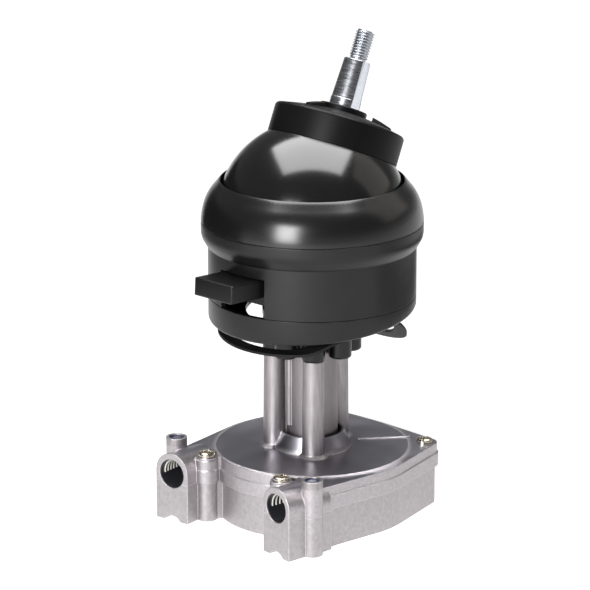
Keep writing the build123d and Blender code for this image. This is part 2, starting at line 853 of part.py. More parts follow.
# Gasket: a flat ring that lies under the housing at its sides and sags at its front and back
with BuildPart() as dash_gasket:
    with BuildSketch(Plane.YZ.offset(-gasket_radius - 1)) as section:
        with BuildLine():
            middle_height = base_plane_height - gasket_thickness / (2 * cos(radians(base_plane_angle)))
            front = (-gasket_front_start, middle_height - slope * gasket_front_start)
            back = (gasket_back_start, middle_height + slope * gasket_back_start)
            Line(front, back)
            dip = JernArc(front, (-1, -slope), gasket_front_bend, gasket_front_angle)
            fall = Line(dip @ 1, dip @ 1 + (dip % 1) * gasket_front_run)
            level = JernArc(fall @ 1, fall % 1, gasket_front_bend, -gasket_front_angle)
            Line(level @ 1, level @ 1 + (level % 1) * gasket_front_bend)
            curl = JernArc(back, (1, slope), gasket_back_bend, -gasket_back_angle - base_plane_angle)
            Line(curl @ 1, curl @ 1 + (curl % 1) * gasket_back_run)
            offset(amount=gasket_thickness / 2, side=Side.BOTH, closed=True, mode=Mode.REPLACE)
        make_face()
    extrude(section.sketch, amount=2 * gasket_radius + 2)
    with BuildSketch(Plane.XY) as ring:
        Circle(gasket_radius)
        Circle(gasket_hole_radius, mode=Mode.SUBTRACT)
    extrude(ring.sketch, amount=2 * base_plane_height, mode=Mode.INTERSECT)
dash_gasket.part.label = "dash_gasket"

# Cradle that stands on the housing floor and carries the tilt pivots and the lever's pivot
pivot_line = Plane(origin=(0, 0, ball_height), x_dir=(0, 1, 0), z_dir=(1, 0, 0))
lever_line = Plane(origin=(0, lever_pivot_y, lever_pivot_z), x_dir=(0, 1, 0), z_dir=(1, 0, 0))
with BuildPart() as cradle:
    rod(cradle_ring_outer, base_plane_height - base_depth, cradle_deck)
    slab(
        -cradle_outer,
        cradle_outer,
        -beam_half_width,
        beam_half_width,
        base_plane_height - base_depth,
        cradle_deck,
    )
    rod(cradle_ring_inner, base_plane_height - base_depth, cradle_deck, mode=Mode.SUBTRACT)
    for side in (1, -1):
        low, high = sorted((side * cradle_inner, side * cradle_outer))
        slab(low, high, -beam_half_width, beam_half_width, cradle_deck, ball_height)
        rod(pivot_ear_radius, low, high, plane=pivot_line)
        rod(pivot_radius, low, high, plane=pivot_line, mode=Mode.SUBTRACT)
        low, high = sorted((side * lug_inner, side * lug_outer))
        slab(
            low,
            high,
            lever_pivot_y - lug_half_width,
            lever_pivot_y + lug_half_width,
            cradle_deck - 1,
            lever_pivot_z,
        )
        rod(lug_half_width, low, high, plane=lever_line)
        rod(lever_pin_radius, low, high, plane=lever_line, mode=Mode.SUBTRACT)
    slab(-big, big, -big, big, -big, base_floor, plane=base_plane, mode=Mode.SUBTRACT)
    rod(post_hole_radius, base_plane_height, cradle_deck, post_places, mode=Mode.SUBTRACT)
cradle.part.label = "cradle"

with BuildPart() as post_screws:
    rod(post_screw_radius, post_top - post_screw_depth + 1, cradle_deck, post_places)
    rod(post_screw_head_radius, cradle_deck, cradle_deck + post_screw_head_height, post_places)
    with BuildSketch(Plane.XY.offset(cradle_deck + 1.0)) as sockets:
        with Locations(*post_places):
            RegularPolygon(post_screw_radius, 6)
    extrude(sockets.sketch, amount=post_screw_head_height, mode=Mode.SUBTRACT)
post_screws.part.label = "post_screws"

with BuildPart() as pivot_pins:
    for side in (1, -1):
        low, high = sorted((side * (ear_inner - 0.5), side * cradle_outer))
        rod(pivot_radius, low, high, plane=pivot_line)
        low, high = sorted((side * cradle_outer, side * (cradle_outer + 1.5)))
        rod(pivot_radius + 2.0, low, high, plane=pivot_line)
pivot_pins.part.label = "tilt_pivot_pins"

with BuildPart() as lever_pins:
    for side in (1, -1):
        low, high = sorted((side * lever_pin_inner, side * lug_outer))
        rod(lever_pin_radius, low, high, plane=lever_line)
lever_pins.part.label = "lever_pins"

# Tilting head: frame, ball, cap and the toothed sector that sets the five positions
with BuildPart() as tilt_frame:
    turn(
        (
            (bearing_shoulder_radius, frame_low),
            (frame_hub_radius, frame_low),
            (frame_hub_radius, frame_flange_low),
            (frame_flange_radius, frame_flange_low),
            (frame_flange_radius, cap_low - land_thickness),
            (bearing_shoulder_radius, cap_low - land_thickness),
        ),
        plane=head_section,
        axis=head_axis,
    )
    slab(-ear_outer, ear_outer, -beam_half_width, beam_half_width, beam_low, beam_high, plane=head)
    for side in (1, -1):
        low, high = sorted((side * ear_inner, side * ear_outer))
        slab(low, high, -beam_half_width, beam_half_width, 0, beam_low, plane=head)
        rod(pivot_ear_radius, low, high, plane=pivot_line)
        rod(pivot_radius + pivot_fit, low, high, plane=pivot_line, mode=Mode.SUBTRACT)
    rod(bearing_shoulder_radius, frame_low, cap_low, plane=head, mode=Mode.SUBTRACT)
    rod(bearing_outer_radius, bearing_low, cap_low, plane=head, mode=Mode.SUBTRACT)
    screw_places = [
        (cap_screw_circle * cos(pi / 4 + k * pi / 2), cap_screw_circle * sin(pi / 4 + k * pi / 2))
        for k in range(4)
    ]
    rod(cap_screw_radius, frame_flange_low, cap_low, screw_places, plane=head, mode=Mode.SUBTRACT)
tilt_frame.part.label = "tilt_frame"

with BuildPart() as shaft_bearing:
    rod(bearing_outer_radius, bearing_low, bearing_low + bearing_height, plane=head)
    rod(shaft_radius + running_fit, bearing_low, cap_low, plane=head, mode=Mode.SUBTRACT)
shaft_bearing.part.label = "shaft_bearing"

with BuildPart() as ball_dome:
    ball_inner = ball_radius - ball_wall
    land_low = cap_low - land_thickness
    edge = radians(ball_edge_angle)
    top_angle = acos(cap_low / ball_radius)
    inner_angle = acos(land_low / ball_inner)

    def on_ball(radius, angle):
        return (radius * sin(angle), radius * cos(angle))

    with BuildSketch(head_section) as section:
        with BuildLine():
            ThreePointArc(
                on_ball(ball_radius, top_angle),
                on_ball(ball_radius, (top_angle + edge) / 2),
                on_ball(ball_radius, edge),
            )
            Line(on_ball(ball_radius, edge), on_ball(ball_inner, edge))
            ThreePointArc(
                on_ball(ball_inner, edge),
                on_ball(ball_inner, (inner_angle + edge) / 2),
                on_ball(ball_inner, inner_angle),
            )
            Polyline(
                on_ball(ball_inner, inner_angle),
                (ball_hole_radius, land_low),
                (ball_hole_radius, cap_low),
                on_ball(ball_radius, top_angle),
            )
        make_face()
    revolve(section.sketch, axis=head_axis)
    rod(cap_screw_radius, land_low, cap_low, screw_places, plane=head, mode=Mode.SUBTRACT)
ball_dome.part.label = "ball_dome"

# Shallow dome on the cap, with the given rise at its middle
def cap_dome(rise):
    radius = cap_radius - cap_edge_round - gap
    with BuildSketch(head_section) as section:
        with BuildLine():
            ThreePointArc((0, cap_top + rise), (radius / 2, cap_top + 0.75 * rise), (radius, cap_top))
            Polyline((radius, cap_top), (radius, cap_top - 1), (0, cap_top - 1), (0, cap_top + rise))
        make_face()
    revolve(section.sketch, axis=head_axis)


# Three ribs whose tops follow a higher dome
with BuildPart() as cap_ribs:
    cap_dome(cap_crown + cap_rib_rise)
    with BuildSketch(head.offset(cap_top - 1)) as bars:
        with PolarLocations(cap_rib_circle, 3, start_angle=cap_rib_start):
            Rectangle(cap_rib_length, cap_rib_width)
    extrude(bars.sketch, amount=2 * cap_crown + cap_rib_rise, mode=Mode.INTERSECT)

with BuildPart() as head_cap:
    rod(cap_radius, cap_low, cap_top, plane=head)
    fillet(head_cap.edges().sort_by(head_axis)[-1], cap_edge_round)
    cap_dome(cap_crown)
    add(cap_ribs.part)
    rod(cap_radius - cap_wall, cap_low, cap_top - cap_roof, plane=head, mode=Mode.SUBTRACT)
    rod(cap_screw_radius + cap_wall, cap_low, cap_top - cap_roof, screw_places, plane=head)
    rod(cap_screw_radius, cap_low, cap_low + cap_screw_depth, screw_places, plane=head, mode=Mode.SUBTRACT)
    cap_high = cap_top + 2 * cap_crown
    rod(hub_disc_recess_radius, cap_low, cap_high, plane=head, mode=Mode.SUBTRACT)
    rod(hub_disc_radius + running_fit, cap_top + hub_disc_seat, cap_high, plane=head, mode=Mode.SUBTRACT)
head_cap.part.label = "head_cap"

with BuildPart() as cap_screws:
    head_low = frame_flange_low - cap_screw_head_height
    rod(cap_screw_head_radius, head_low, frame_flange_low, screw_places, plane=head)
    rod(cap_screw_radius, frame_flange_low, cap_low + cap_screw_depth, screw_places, plane=head)
cap_screws.part.label = "cap_screws"

with BuildPart() as hub_disc:
    disc_top = cap_top + hub_disc_height
    turn(
        (
            (hub_disc_bore, cap_top + hub_disc_seat),
            (hub_disc_radius, cap_top + hub_disc_seat),
            (hub_disc_radius, disc_top - 0.5),
            (hub_disc_radius - 0.5, disc_top),
            (hub_disc_recess_radius, disc_top),
            (hub_disc_recess_radius, disc_top - hub_disc_recess),
            (hub_disc_bore, disc_top - hub_disc_recess),
        ),
        plane=head_section,
        axis=head_axis,
    )
hub_disc.part.label = "hub_disc"

# Angles in the plane of the sector run from the head's own y axis; its teeth lie on the front below
pawl_local = 180.0 + pawl_angle + rest_tilt
sector_tip = pawl_local + 0.7 * tilt_step
with BuildPart() as lock_sector:
    side_plane = Plane(
        origin=(sector_x_low, 0, ball_height),
        x_dir=(0, cos(tilt), -sin(tilt)),
        z_dir=(1, 0, 0),
    )
    with BuildSketch(side_plane) as plate:
        with BuildLine():
            CenterArc((0, 0), sector_radius, 90.0, sector_tip - 90.0)
            CenterArc((0, 0), sector_inner, 90.0, sector_tip - 90.0)
            far = radians(sector_tip)
            inner_end = (sector_inner * cos(far), sector_inner * sin(far))
            Line(inner_end, (sector_radius * cos(far), sector_radius * sin(far)))
            Line((0, sector_inner), (0, sector_radius))
        make_face()
        with Locations((big / 2 - beam_half_width, big / 2), (0, big / 2 + beam_high)):
            Rectangle(big, big, mode=Mode.SUBTRACT)
        for number in range(notch_count):
            angle = pawl_local - tilt_step * number
            notch_middle = sector_radius - notch_depth / 2
            spot = (notch_middle * cos(radians(angle)), notch_middle * sin(radians(angle)))
            with Locations(Location(spot, angle - 90.0)):
                Trapezoid(notch_mouth, notch_depth + 1.0, 105.0, rotation=180, mode=Mode.SUBTRACT)
    extrude(plate.sketch, amount=sector_x_high - sector_x_low)
lock_sector.part.label = "lock_sector"

# Wheel shaft: seat, tapered hub seat with a milled flat, and the thread for the wheel nut
taper_small_radius = taper_large_radius - taper_ratio * (taper_high - taper_low)
with BuildPart() as wheel_shaft:
    turn(
        (
            (0, yoke_hub_near + yoke_roof),
            (yoke_bore_radius, yoke_hub_near + yoke_roof),
            (yoke_bore_radius, yoke_hub_far),
            (shaft_radius, yoke_hub_far),
            (shaft_radius, seat_low),
            (seat_radius, seat_low),
            (seat_radius, taper_low - 0.3),
            (taper_large_radius, taper_low),
            (taper_small_radius, taper_high - 0.5),
            (taper_small_radius - 0.5, taper_high),
            (thread_radius - thread_relief, taper_high),
            (thread_radius - thread_relief, taper_high + 1.0),
            (thread_radius, taper_high + 1.0 + thread_relief),
            (thread_radius, thread_high - thread_chamfer),
            (thread_radius - thread_chamfer, thread_high),
            (0, thread_high),
        ),
        plane=head_section,
        axis=head_axis,
    )
    snap_low = cap_top + hub_disc_height - hub_disc_recess + gap
    turn(
        (
            (snap_groove_radius, snap_low),
            (seat_radius + 1, snap_low),
            (seat_radius + 1, snap_low + snap_ring_height),
            (snap_groove_radius, snap_low + snap_ring_height),
        ),
        plane=head_section,
        axis=head_axis,
        mode=Mode.SUBTRACT,
    )
    flat_share = cos(radians(flat_half_angle))
    flat_foot = (taper_large_radius + taper_ratio * (taper_low - flat_low)) * flat_share
    with BuildSketch(head_section.offset(-seat_radius)) as flats:
        with BuildLine():
            Polyline(
                (flat_foot, flat_low),
                (taper_small_radius * flat_share, taper_high),
                (thread_flat, taper_high),
                (thread_flat, thread_high + 1),
                (big, thread_high + 1),
                (big, flat_low),
                close=True,
            )
        make_face()
    extrude(flats.sketch, amount=2 * seat_radius, mode=Mode.SUBTRACT)
wheel_shaft.part.label = "wheel_shaft"

with BuildPart() as snap_ring:
    rod(snap_ring_radius, snap_low, snap_low + snap_ring_height, plane=head)
    rod(snap_groove_radius, snap_low, snap_low + snap_ring_height, plane=head, mode=Mode.SUBTRACT)
    snap_top = snap_low + snap_ring_height
    slab(-snap_ring_radius, 0, -1.5, 1.5, snap_low, snap_top, plane=head, mode=Mode.SUBTRACT)
snap_ring.part.label = "snap_ring"

across = (0, cos(tilt), -sin(tilt))
with BuildPart() as upper_yoke:
    yoke(Plane(origin=(0, 0, ball_height), x_dir=across, z_dir=head.z_dir))
upper_yoke.part.label = "upper_yoke"

stub_line = Plane(origin=(0, 0, ball_height), x_dir=(1, 0, 0), z_dir=across)
with BuildPart() as joint_stubs:
    for side in (1, -1):
        low, high = sorted((side * (joint_ball_radius + joint_gap), side * yoke_arm_outer))
        rod(joint_pin_radius, low, high, plane=stub_line)
joint_stubs.part.label = "joint_stubs"

# Release lever: the pad in the window, two arms to its pivot, the pawl and the return spring
lean = radians(lever_slope)
lever_plane = Plane(
    origin=(0, -lever_tip, lever_tip_low),
    x_dir=(1, 0, 0),
    z_dir=(0, sin(lean), cos(lean)),
)
arm_low = lever_pivot_z - lever_arm_height / 2
arm_high = lever_pivot_z + lever_arm_height / 2
with BuildPart() as release_lever:
    slab(
        -lever_half_width,
        lever_half_width,
        0,
        lever_tip - lever_slab_back,
        0,
        lever_thickness,
        plane=lever_plane,
    )
    fillet(release_lever.edges(), lever_round)
    slab(
        -lever_arm_outer,
        lever_arm_outer,
        -lever_slab_back - 1.5,
        -lever_bridge_back,
        lever_bridge_low,
        lever_bridge_high,
    )
    for side in (1, -1):
        low, high = sorted((side * lever_arm_inner, side * lever_arm_outer))
        slab(low, high, -lever_bridge_back - 4, lever_pivot_y, arm_low, arm_high)
        rod(lever_arm_height / 2, low, high, plane=lever_line)
        rod(lever_pin_radius + pivot_fit, low, high, plane=lever_line, mode=Mode.SUBTRACT)
release_lever.part.label = "release_lever"

pawl_plane = Plane(
    origin=(0, 0, ball_height),
    x_dir=(1, 0, 0),
    z_dir=(0, -cos(radians(pawl_angle)), -sin(radians(pawl_angle))),
)
with BuildPart() as lock_pawl:
    slab(
        sector_x_low + pawl_margin,
        sector_x_high - pawl_margin,
        -pawl_half_width,
        pawl_half_width,
        sector_radius + pawl_clear,
        pawl_high,
        plane=pawl_plane,
    )
    slab(
        lever_arm_outer,
        sector_x_high - pawl_margin,
        -pawl_bar_half_width,
        pawl_bar_half_width,
        pawl_low,
        pawl_high,
        plane=pawl_plane,
    )
lock_pawl.part.label = "lock_pawl"

with BuildPart() as lever_spring:
    coil_start = (spring_start, lever_pivot_y, lever_pivot_z)
    with BuildLine() as coil:
        Helix(spring_pitch, spring_pitch * spring_turns, spring_radius, coil_start, (1, 0, 0))
    with BuildSketch(Plane(origin=coil.line @ 0, z_dir=coil.line % 0)) as wire:
        Circle(spring_wire_radius)
    sweep(wire.sketch, path=coil.line, is_frenet=True)
lever_spring.part.label = "lever_spring"

pieces = [
    gearbox_base, gearbox_lid, lid_screws, lock_bolts, lock_nuts, nylon_collars, ring_gear, *planets,
    planet_pins, cable_drum, *bushes, drive_shaft, lower_yoke, joint_centre, housing_base, tilt_housing,
    bezel_ring, dash_gasket, cradle, post_screws, pivot_pins, lever_pins, tilt_frame, shaft_bearing,
    ball_dome, head_cap, cap_screws, hub_disc, lock_sector, wheel_shaft, snap_ring, upper_yoke,
    joint_stubs, release_lever, lock_pawl, lever_spring,
]
os.makedirs("parts", exist_ok=True)
for piece in pieces:
    export_step(piece.part, f"parts/{piece.part.label}.step")
    print(piece.part.label, len(piece.part.solids()), round(piece.part.volume), piece.part.is_valid)
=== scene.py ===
import bpy
import bmesh
import json
import math
from mathutils import Matrix, Vector

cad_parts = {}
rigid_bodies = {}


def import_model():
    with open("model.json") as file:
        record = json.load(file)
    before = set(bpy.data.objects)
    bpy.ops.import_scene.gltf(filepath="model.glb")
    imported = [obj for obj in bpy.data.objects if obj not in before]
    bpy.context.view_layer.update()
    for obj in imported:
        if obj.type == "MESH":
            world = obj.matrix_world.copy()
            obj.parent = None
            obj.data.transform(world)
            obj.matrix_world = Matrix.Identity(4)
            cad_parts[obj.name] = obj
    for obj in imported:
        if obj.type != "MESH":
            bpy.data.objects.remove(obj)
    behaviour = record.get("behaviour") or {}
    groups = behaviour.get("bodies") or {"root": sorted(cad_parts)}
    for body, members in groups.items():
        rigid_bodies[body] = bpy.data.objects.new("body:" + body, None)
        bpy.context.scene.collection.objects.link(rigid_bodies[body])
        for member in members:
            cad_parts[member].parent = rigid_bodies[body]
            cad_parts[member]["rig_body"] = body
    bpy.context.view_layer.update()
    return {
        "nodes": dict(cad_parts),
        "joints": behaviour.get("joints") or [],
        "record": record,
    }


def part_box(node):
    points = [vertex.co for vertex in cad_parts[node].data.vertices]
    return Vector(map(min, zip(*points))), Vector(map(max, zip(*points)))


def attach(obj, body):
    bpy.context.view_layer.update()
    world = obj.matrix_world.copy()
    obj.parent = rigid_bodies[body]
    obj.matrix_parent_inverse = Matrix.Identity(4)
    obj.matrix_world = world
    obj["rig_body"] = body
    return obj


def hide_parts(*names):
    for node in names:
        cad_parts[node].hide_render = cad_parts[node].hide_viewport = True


# Rotary steering helm with a tilting ball head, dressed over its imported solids. Metres, +Z up the column.
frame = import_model()
mm = 0.001
solidMerge = 0.002 * mm    # corners nearer than this are one, in the solids and in the shapes made here
shapeMerge = 0.001 * mm
jointOf = {joint["name"]: joint for joint in frame["joints"]}
ballCentre = Vector(jointOf["head_tilt"]["pos_m"])
headAxis = Vector(jointOf["wheel_spin"]["axis"]).normalized()
xAxis = Vector((1.0, 0.0, 0.0))
zAxis = Vector((0.0, 0.0, 1.0))
headTurn = Matrix((xAxis, headAxis.cross(xAxis), headAxis)).transposed().to_4x4()
headPlace = Matrix.Translation(ballCentre) @ headTurn


# Camera, fitted to the photograph
photoCamera = {
    "azimuth": 43.0,          # degrees round the column from the front
    "distance": 1.9494,       # from the column axis, level
    "height": 0.7243,
    "pitch": 16.65,           # degrees down
    "turn": -0.32,            # degrees to the left
    "focalPixels": 3222.0,
    "imagePixels": 590,
    "sensorWidth": 36.0,
    "clipEnd": 30.0,
}
azimuth = math.radians(photoCamera["azimuth"])
toCamera = Vector((math.sin(azimuth), -math.cos(azimuth), 0.0))
toRight = Vector((math.cos(azimuth), math.sin(azimuth), 0.0))


def makeCamera():
    pitch = math.radians(photoCamera["pitch"])
    turn = math.radians(photoCamera["turn"])
    level = toRight * math.sin(turn) - toCamera * math.cos(turn)
    forward = level * math.cos(pitch) - zAxis * math.sin(pitch)
    right = forward.cross(zAxis).normalized()
    data = bpy.data.cameras.new("photoCamera")
    data.sensor_width = photoCamera["sensorWidth"]
    data.lens = data.sensor_width * photoCamera["focalPixels"] / photoCamera["imagePixels"]
    data.clip_end = photoCamera["clipEnd"]
    camera = bpy.data.objects.new("photoCamera", data)
    bpy.context.scene.collection.objects.link(camera)
    place = toCamera * photoCamera["distance"] + zAxis * photoCamera["height"]
    turned = Matrix((right, right.cross(forward), -forward)).transposed().to_4x4()
    camera.matrix_world = Matrix.Translation(place) @ turned
    bpy.context.scene.camera = camera


makeCamera()
print("camera set")


# Colours are written as sRGB hex
def linear(hexColour):
    parts = [int(hexColour[i:i + 2], 16) / 255 for i in (1, 3, 5)]
    return [p / 12.92 if p <= 0.04045 else ((p + 0.055) / 1.055) ** 2.4 for p in parts] + [1.0]


# Adds a node; an input takes a value, a socket, or another node, whose first output in use is linked
def addNode(tree, kind, inputs=None, **settings):
    node = tree.nodes.new(kind)
    for name, value in settings.items():
        setattr(node, name, value)
    for name, value in (inputs or {}).items():
        if isinstance(name, int):
            socket = node.inputs[name]
        else:
            socket = next(s for s in node.inputs if s.name == name and s.enabled)
        if isinstance(value, bpy.types.Node):
            value = next(s for s in value.outputs if s.enabled)
        if isinstance(value, bpy.types.NodeSocket):
            tree.links.new(value, socket)
        else:
            socket.default_value = value
    return node


def newMaterial(name):
    material = bpy.data.materials.new(name)
    material.use_nodes = True
    material.node_tree.nodes.clear()
    return material, material.node_tree


# The span that noise mostly takes, and how far a softened normal turns from the true one where the painted
# edge highlight starts and where it is full
noiseLow, noiseHigh = 0.3, 0.7
edgeHighlightStart, edgeHighlightFull = 0.99, 0.80


# Die-cast aluminium, as it left the mould: a sand-like grain, and dull and bright patches where the metal
# flowed up the walls. The grain is drawn about twice as coarse as the real one, so that it shows.
def makeWallCasting():
    look = {
        "dark": "#9A9698", "pale": "#BFBABC", "grainMm": 0.9, "streakMm": 2.4, "streakStretch": 0.9,
        "depthMm": 0.10, "edgeMm": 0.8, "roughness": (0.38, 0.56), "edge": "#EAE6E6", "edgeHighlightShare": 0.8,
    }
    material, tree = newMaterial("dieCastAluminium")
    spot = addNode(tree, "ShaderNodeTexCoord").outputs["Object"]
    grain = addNode(tree, "ShaderNodeTexNoise", {
        "Vector": spot, "Scale": 1 / (look["grainMm"] * mm), "Detail": 3.0, "Roughness": 0.6})
    upright = addNode(tree, "ShaderNodeMapping", {
        "Vector": spot, "Scale": (1.0, 1.0, look["streakStretch"])})
    streak = addNode(tree, "ShaderNodeTexNoise", {
        "Vector": upright, "Scale": 1 / (look["streakMm"] * mm), "Detail": 3.0, "Roughness": 0.55})
    skin = addNode(tree, "ShaderNodeMix", {
        "Factor": streak, "A": linear(look["dark"]), "B": linear(look["pale"])}, data_type="RGBA")
    # The pale edge colour is a painted highlight along sharp edges, where the bevel's rounded normal turns
    # from the true one
    edges = addNode(tree, "ShaderNodeBevel", {"Radius": look["edgeMm"] * mm}, samples=4)
    along = addNode(tree, "ShaderNodeVectorMath", {
        0: edges, 1: addNode(tree, "ShaderNodeNewGeometry").outputs["Normal"]}, operation="DOT_PRODUCT")
    edgeHighlight = addNode(tree, "ShaderNodeMapRange", {
        "Value": along.outputs["Value"], "From Min": edgeHighlightStart, "From Max": edgeHighlightFull,
        "To Max": look["edgeHighlightShare"]})
    tone = addNode(tree, "ShaderNodeMix", {
        "Factor": edgeHighlight, "A": skin, "B": linear(look["edge"])}, data_type="RGBA")
    rough = addNode(tree, "ShaderNodeMapRange", {
        "Value": grain, "From Min": noiseLow, "From Max": noiseHigh,
        "To Min": look["roughness"][0], "To Max": look["roughness"][1]})
    bump = addNode(tree, "ShaderNodeBump", {
        "Height": grain, "Distance": look["depthMm"] * mm, "Strength": 0.8, "Normal": edges})
    shader = addNode(tree, "ShaderNodeBsdfPrincipled", {
        "Base Color": tone, "Metallic": 1.0, "Roughness": rough, "Normal": bump})
    addNode(tree, "ShaderNodeOutputMaterial", {"Surface": shader})
    return material


# The lid's casting: its flat top came off a smoother mould face and is a little glossier, and its colour is
# painted darker and greyer as shade; the sloped collar round the column takes the same painted shade. The
# posts and webs above it are bright and streaked by the draw of the mould, and the tube between the posts is
# painted darker as shade.
def makeLidCasting():
    look = {
        "wallDark": "#A09B9E", "wallPale": "#C2BDC0", "postDark": "#827D7F", "postPale": "#B3AEB0",
        "shadedTopDark": "#97959D", "shadedTopPale": "#ADABB4", "grainMm": 0.9, "fleckMm": 2.0, "streakMm": 1.7,
        "streakStretch": 0.10, "cloudMm": 16.0, "depthMm": 0.09, "topDepth": 0.25, "edgeMm": 0.9,
        "topHeightMm": 43.6, "collarMm": 27.0, "tubeMm": 16.5, "tubeShade": 0.8,
        "edge": "#E6E3E4", "edgeHighlightShare": 0.7, "wallRoughness": (0.38, 0.56), "topRoughness": (0.30, 0.38),
        "level": (0.90, 0.97), "sloped": (0.2, 0.4),
    }
    material, tree = newMaterial("lidCastAluminium")
    spot = addNode(tree, "ShaderNodeTexCoord").outputs["Object"]
    height = addNode(tree, "ShaderNodeSeparateXYZ", {"Vector": spot}).outputs["Z"]
    normal = addNode(tree, "ShaderNodeNewGeometry").outputs["Normal"]
    facing = addNode(tree, "ShaderNodeSeparateXYZ", {"Vector": normal}).outputs["Z"]
    upward = addNode(tree, "ShaderNodeMapRange", {
        "Value": facing, "From Min": look["level"][0], "From Max": look["level"][1]})
    above = addNode(tree, "ShaderNodeMapRange", {
        "Value": height, "From Min": look["topHeightMm"] * mm, "From Max": (look["topHeightMm"] + 1) * mm})
    below = addNode(tree, "ShaderNodeMath", {0: 1.0, 1: above}, operation="SUBTRACT")
    level = addNode(tree, "ShaderNodeMath", {0: upward, 1: below}, operation="MULTIPLY")
    flat = addNode(tree, "ShaderNodeVectorMath", {0: spot, 1: (1.0, 1.0, 0.0)}, operation="MULTIPLY")
    radius = addNode(tree, "ShaderNodeVectorMath", {0: flat}, operation="LENGTH").outputs["Value"]
    # Sloped faces of the collar within this radius take the top's darker colours as painted shade
    inside = addNode(tree, "ShaderNodeMath", {0: radius, 1: look["collarMm"] * mm}, operation="LESS_THAN")
    sloped = addNode(tree, "ShaderNodeMapRange", {
        "Value": facing, "From Min": look["sloped"][0], "From Max": look["sloped"][1]})
    shadedCollar = addNode(tree, "ShaderNodeMath", {0: inside, 1: sloped}, operation="MULTIPLY")
    topAndShadedCollar = addNode(tree, "ShaderNodeMath", {0: level, 1: shadedCollar}, operation="MAXIMUM")
    grain = addNode(tree, "ShaderNodeTexNoise", {
        "Vector": spot, "Scale": 1 / (look["grainMm"] * mm), "Detail": 3.0, "Roughness": 0.6})
    fleck = addNode(tree, "ShaderNodeTexNoise", {"Vector": spot, "Scale": 1 / (look["fleckMm"] * mm)})
    cloud = addNode(tree, "ShaderNodeTexNoise", {"Vector": spot, "Scale": 1 / (look["cloudMm"] * mm)})
    upright = addNode(tree, "ShaderNodeMapping", {
        "Vector": spot, "Scale": (1.0, 1.0, look["streakStretch"])})
    streak = addNode(tree, "ShaderNodeTexNoise", {"Vector": upright, "Scale": 1 / (look["streakMm"] * mm)})
    wall = addNode(tree, "ShaderNodeMix", {
        "Factor": fleck, "A": linear(look["wallDark"]), "B": linear(look["wallPale"])}, data_type="RGBA")
    post = addNode(tree, "ShaderNodeMix", {
        "Factor": streak, "A": linear(look["postDark"]), "B": linear(look["postPale"])}, data_type="RGBA")
    # The flat top's darker, greyer colours are painted shade
    top = addNode(tree, "ShaderNodeMix", {
        "Factor": cloud, "A": linear(look["shadedTopDark"]), "B": linear(look["shadedTopPale"])}, data_type="RGBA")
    # The tube inside the posts is painted darker towards the posts' dark colour as shade
    middle = addNode(tree, "ShaderNodeMath", {0: radius, 1: look["tubeMm"] * mm}, operation="LESS_THAN")
    shade = addNode(tree, "ShaderNodeMath", {0: middle, 1: look["tubeShade"]}, operation="MULTIPLY")
    column = addNode(tree, "ShaderNodeMix", {
        "Factor": shade, "A": post, "B": linear(look["postDark"])}, data_type="RGBA")
    sides = addNode(tree, "ShaderNodeMix", {"Factor": above, "A": wall, "B": column}, data_type="RGBA")
    skin = addNode(tree, "ShaderNodeMix", {"Factor": topAndShadedCollar, "A": sides, "B": top}, data_type="RGBA")
    # The pale edge colour is a painted highlight along sharp edges, where the bevel's rounded normal turns
    # from the true one
    edges = addNode(tree, "ShaderNodeBevel", {"Radius": look["edgeMm"] * mm}, samples=4)
    along = addNode(tree, "ShaderNodeVectorMath", {0: edges, 1: normal}, operation="DOT_PRODUCT")
    edgeHighlight = addNode(tree, "ShaderNodeMapRange", {
        "Value": along.outputs["Value"], "From Min": edgeHighlightStart, "From Max": edgeHighlightFull,
        "To Max": look["edgeHighlightShare"]})
    tone = addNode(tree, "ShaderNodeMix", {
        "Factor": edgeHighlight, "A": skin, "B": linear(look["edge"])}, data_type="RGBA")
    wallRough = addNode(tree, "ShaderNodeMapRange", {
        "Value": grain, "From Min": noiseLow, "From Max": noiseHigh,
        "To Min": look["wallRoughness"][0], "To Max": look["wallRoughness"][1]})
    topRough = addNode(tree, "ShaderNodeMapRange", {
        "Value": cloud, "From Min": noiseLow, "From Max": noiseHigh,
        "To Min": look["topRoughness"][0], "To Max": look["topRoughness"][1]})
    rough = addNode(tree, "ShaderNodeMix", {"Factor": topAndShadedCollar, "A": wallRough, "B": topRough})
    depth = addNode(tree, "ShaderNodeMapRange", {
        "Value": topAndShadedCollar, "To Min": look["depthMm"] * mm, "To Max": look["depthMm"] * look["topDepth"] * mm})
    bump = addNode(tree, "ShaderNodeBump", {
        "Height": grain, "Distance": depth, "Strength": 0.8, "Normal": edges})
    shader = addNode(tree, "ShaderNodeBsdfPrincipled", {
        "Base Color": tone, "Metallic": 1.0, "Roughness": rough, "Normal": bump})
    addNode(tree, "ShaderNodeOutputMaterial", {"Surface": shader})
    return material
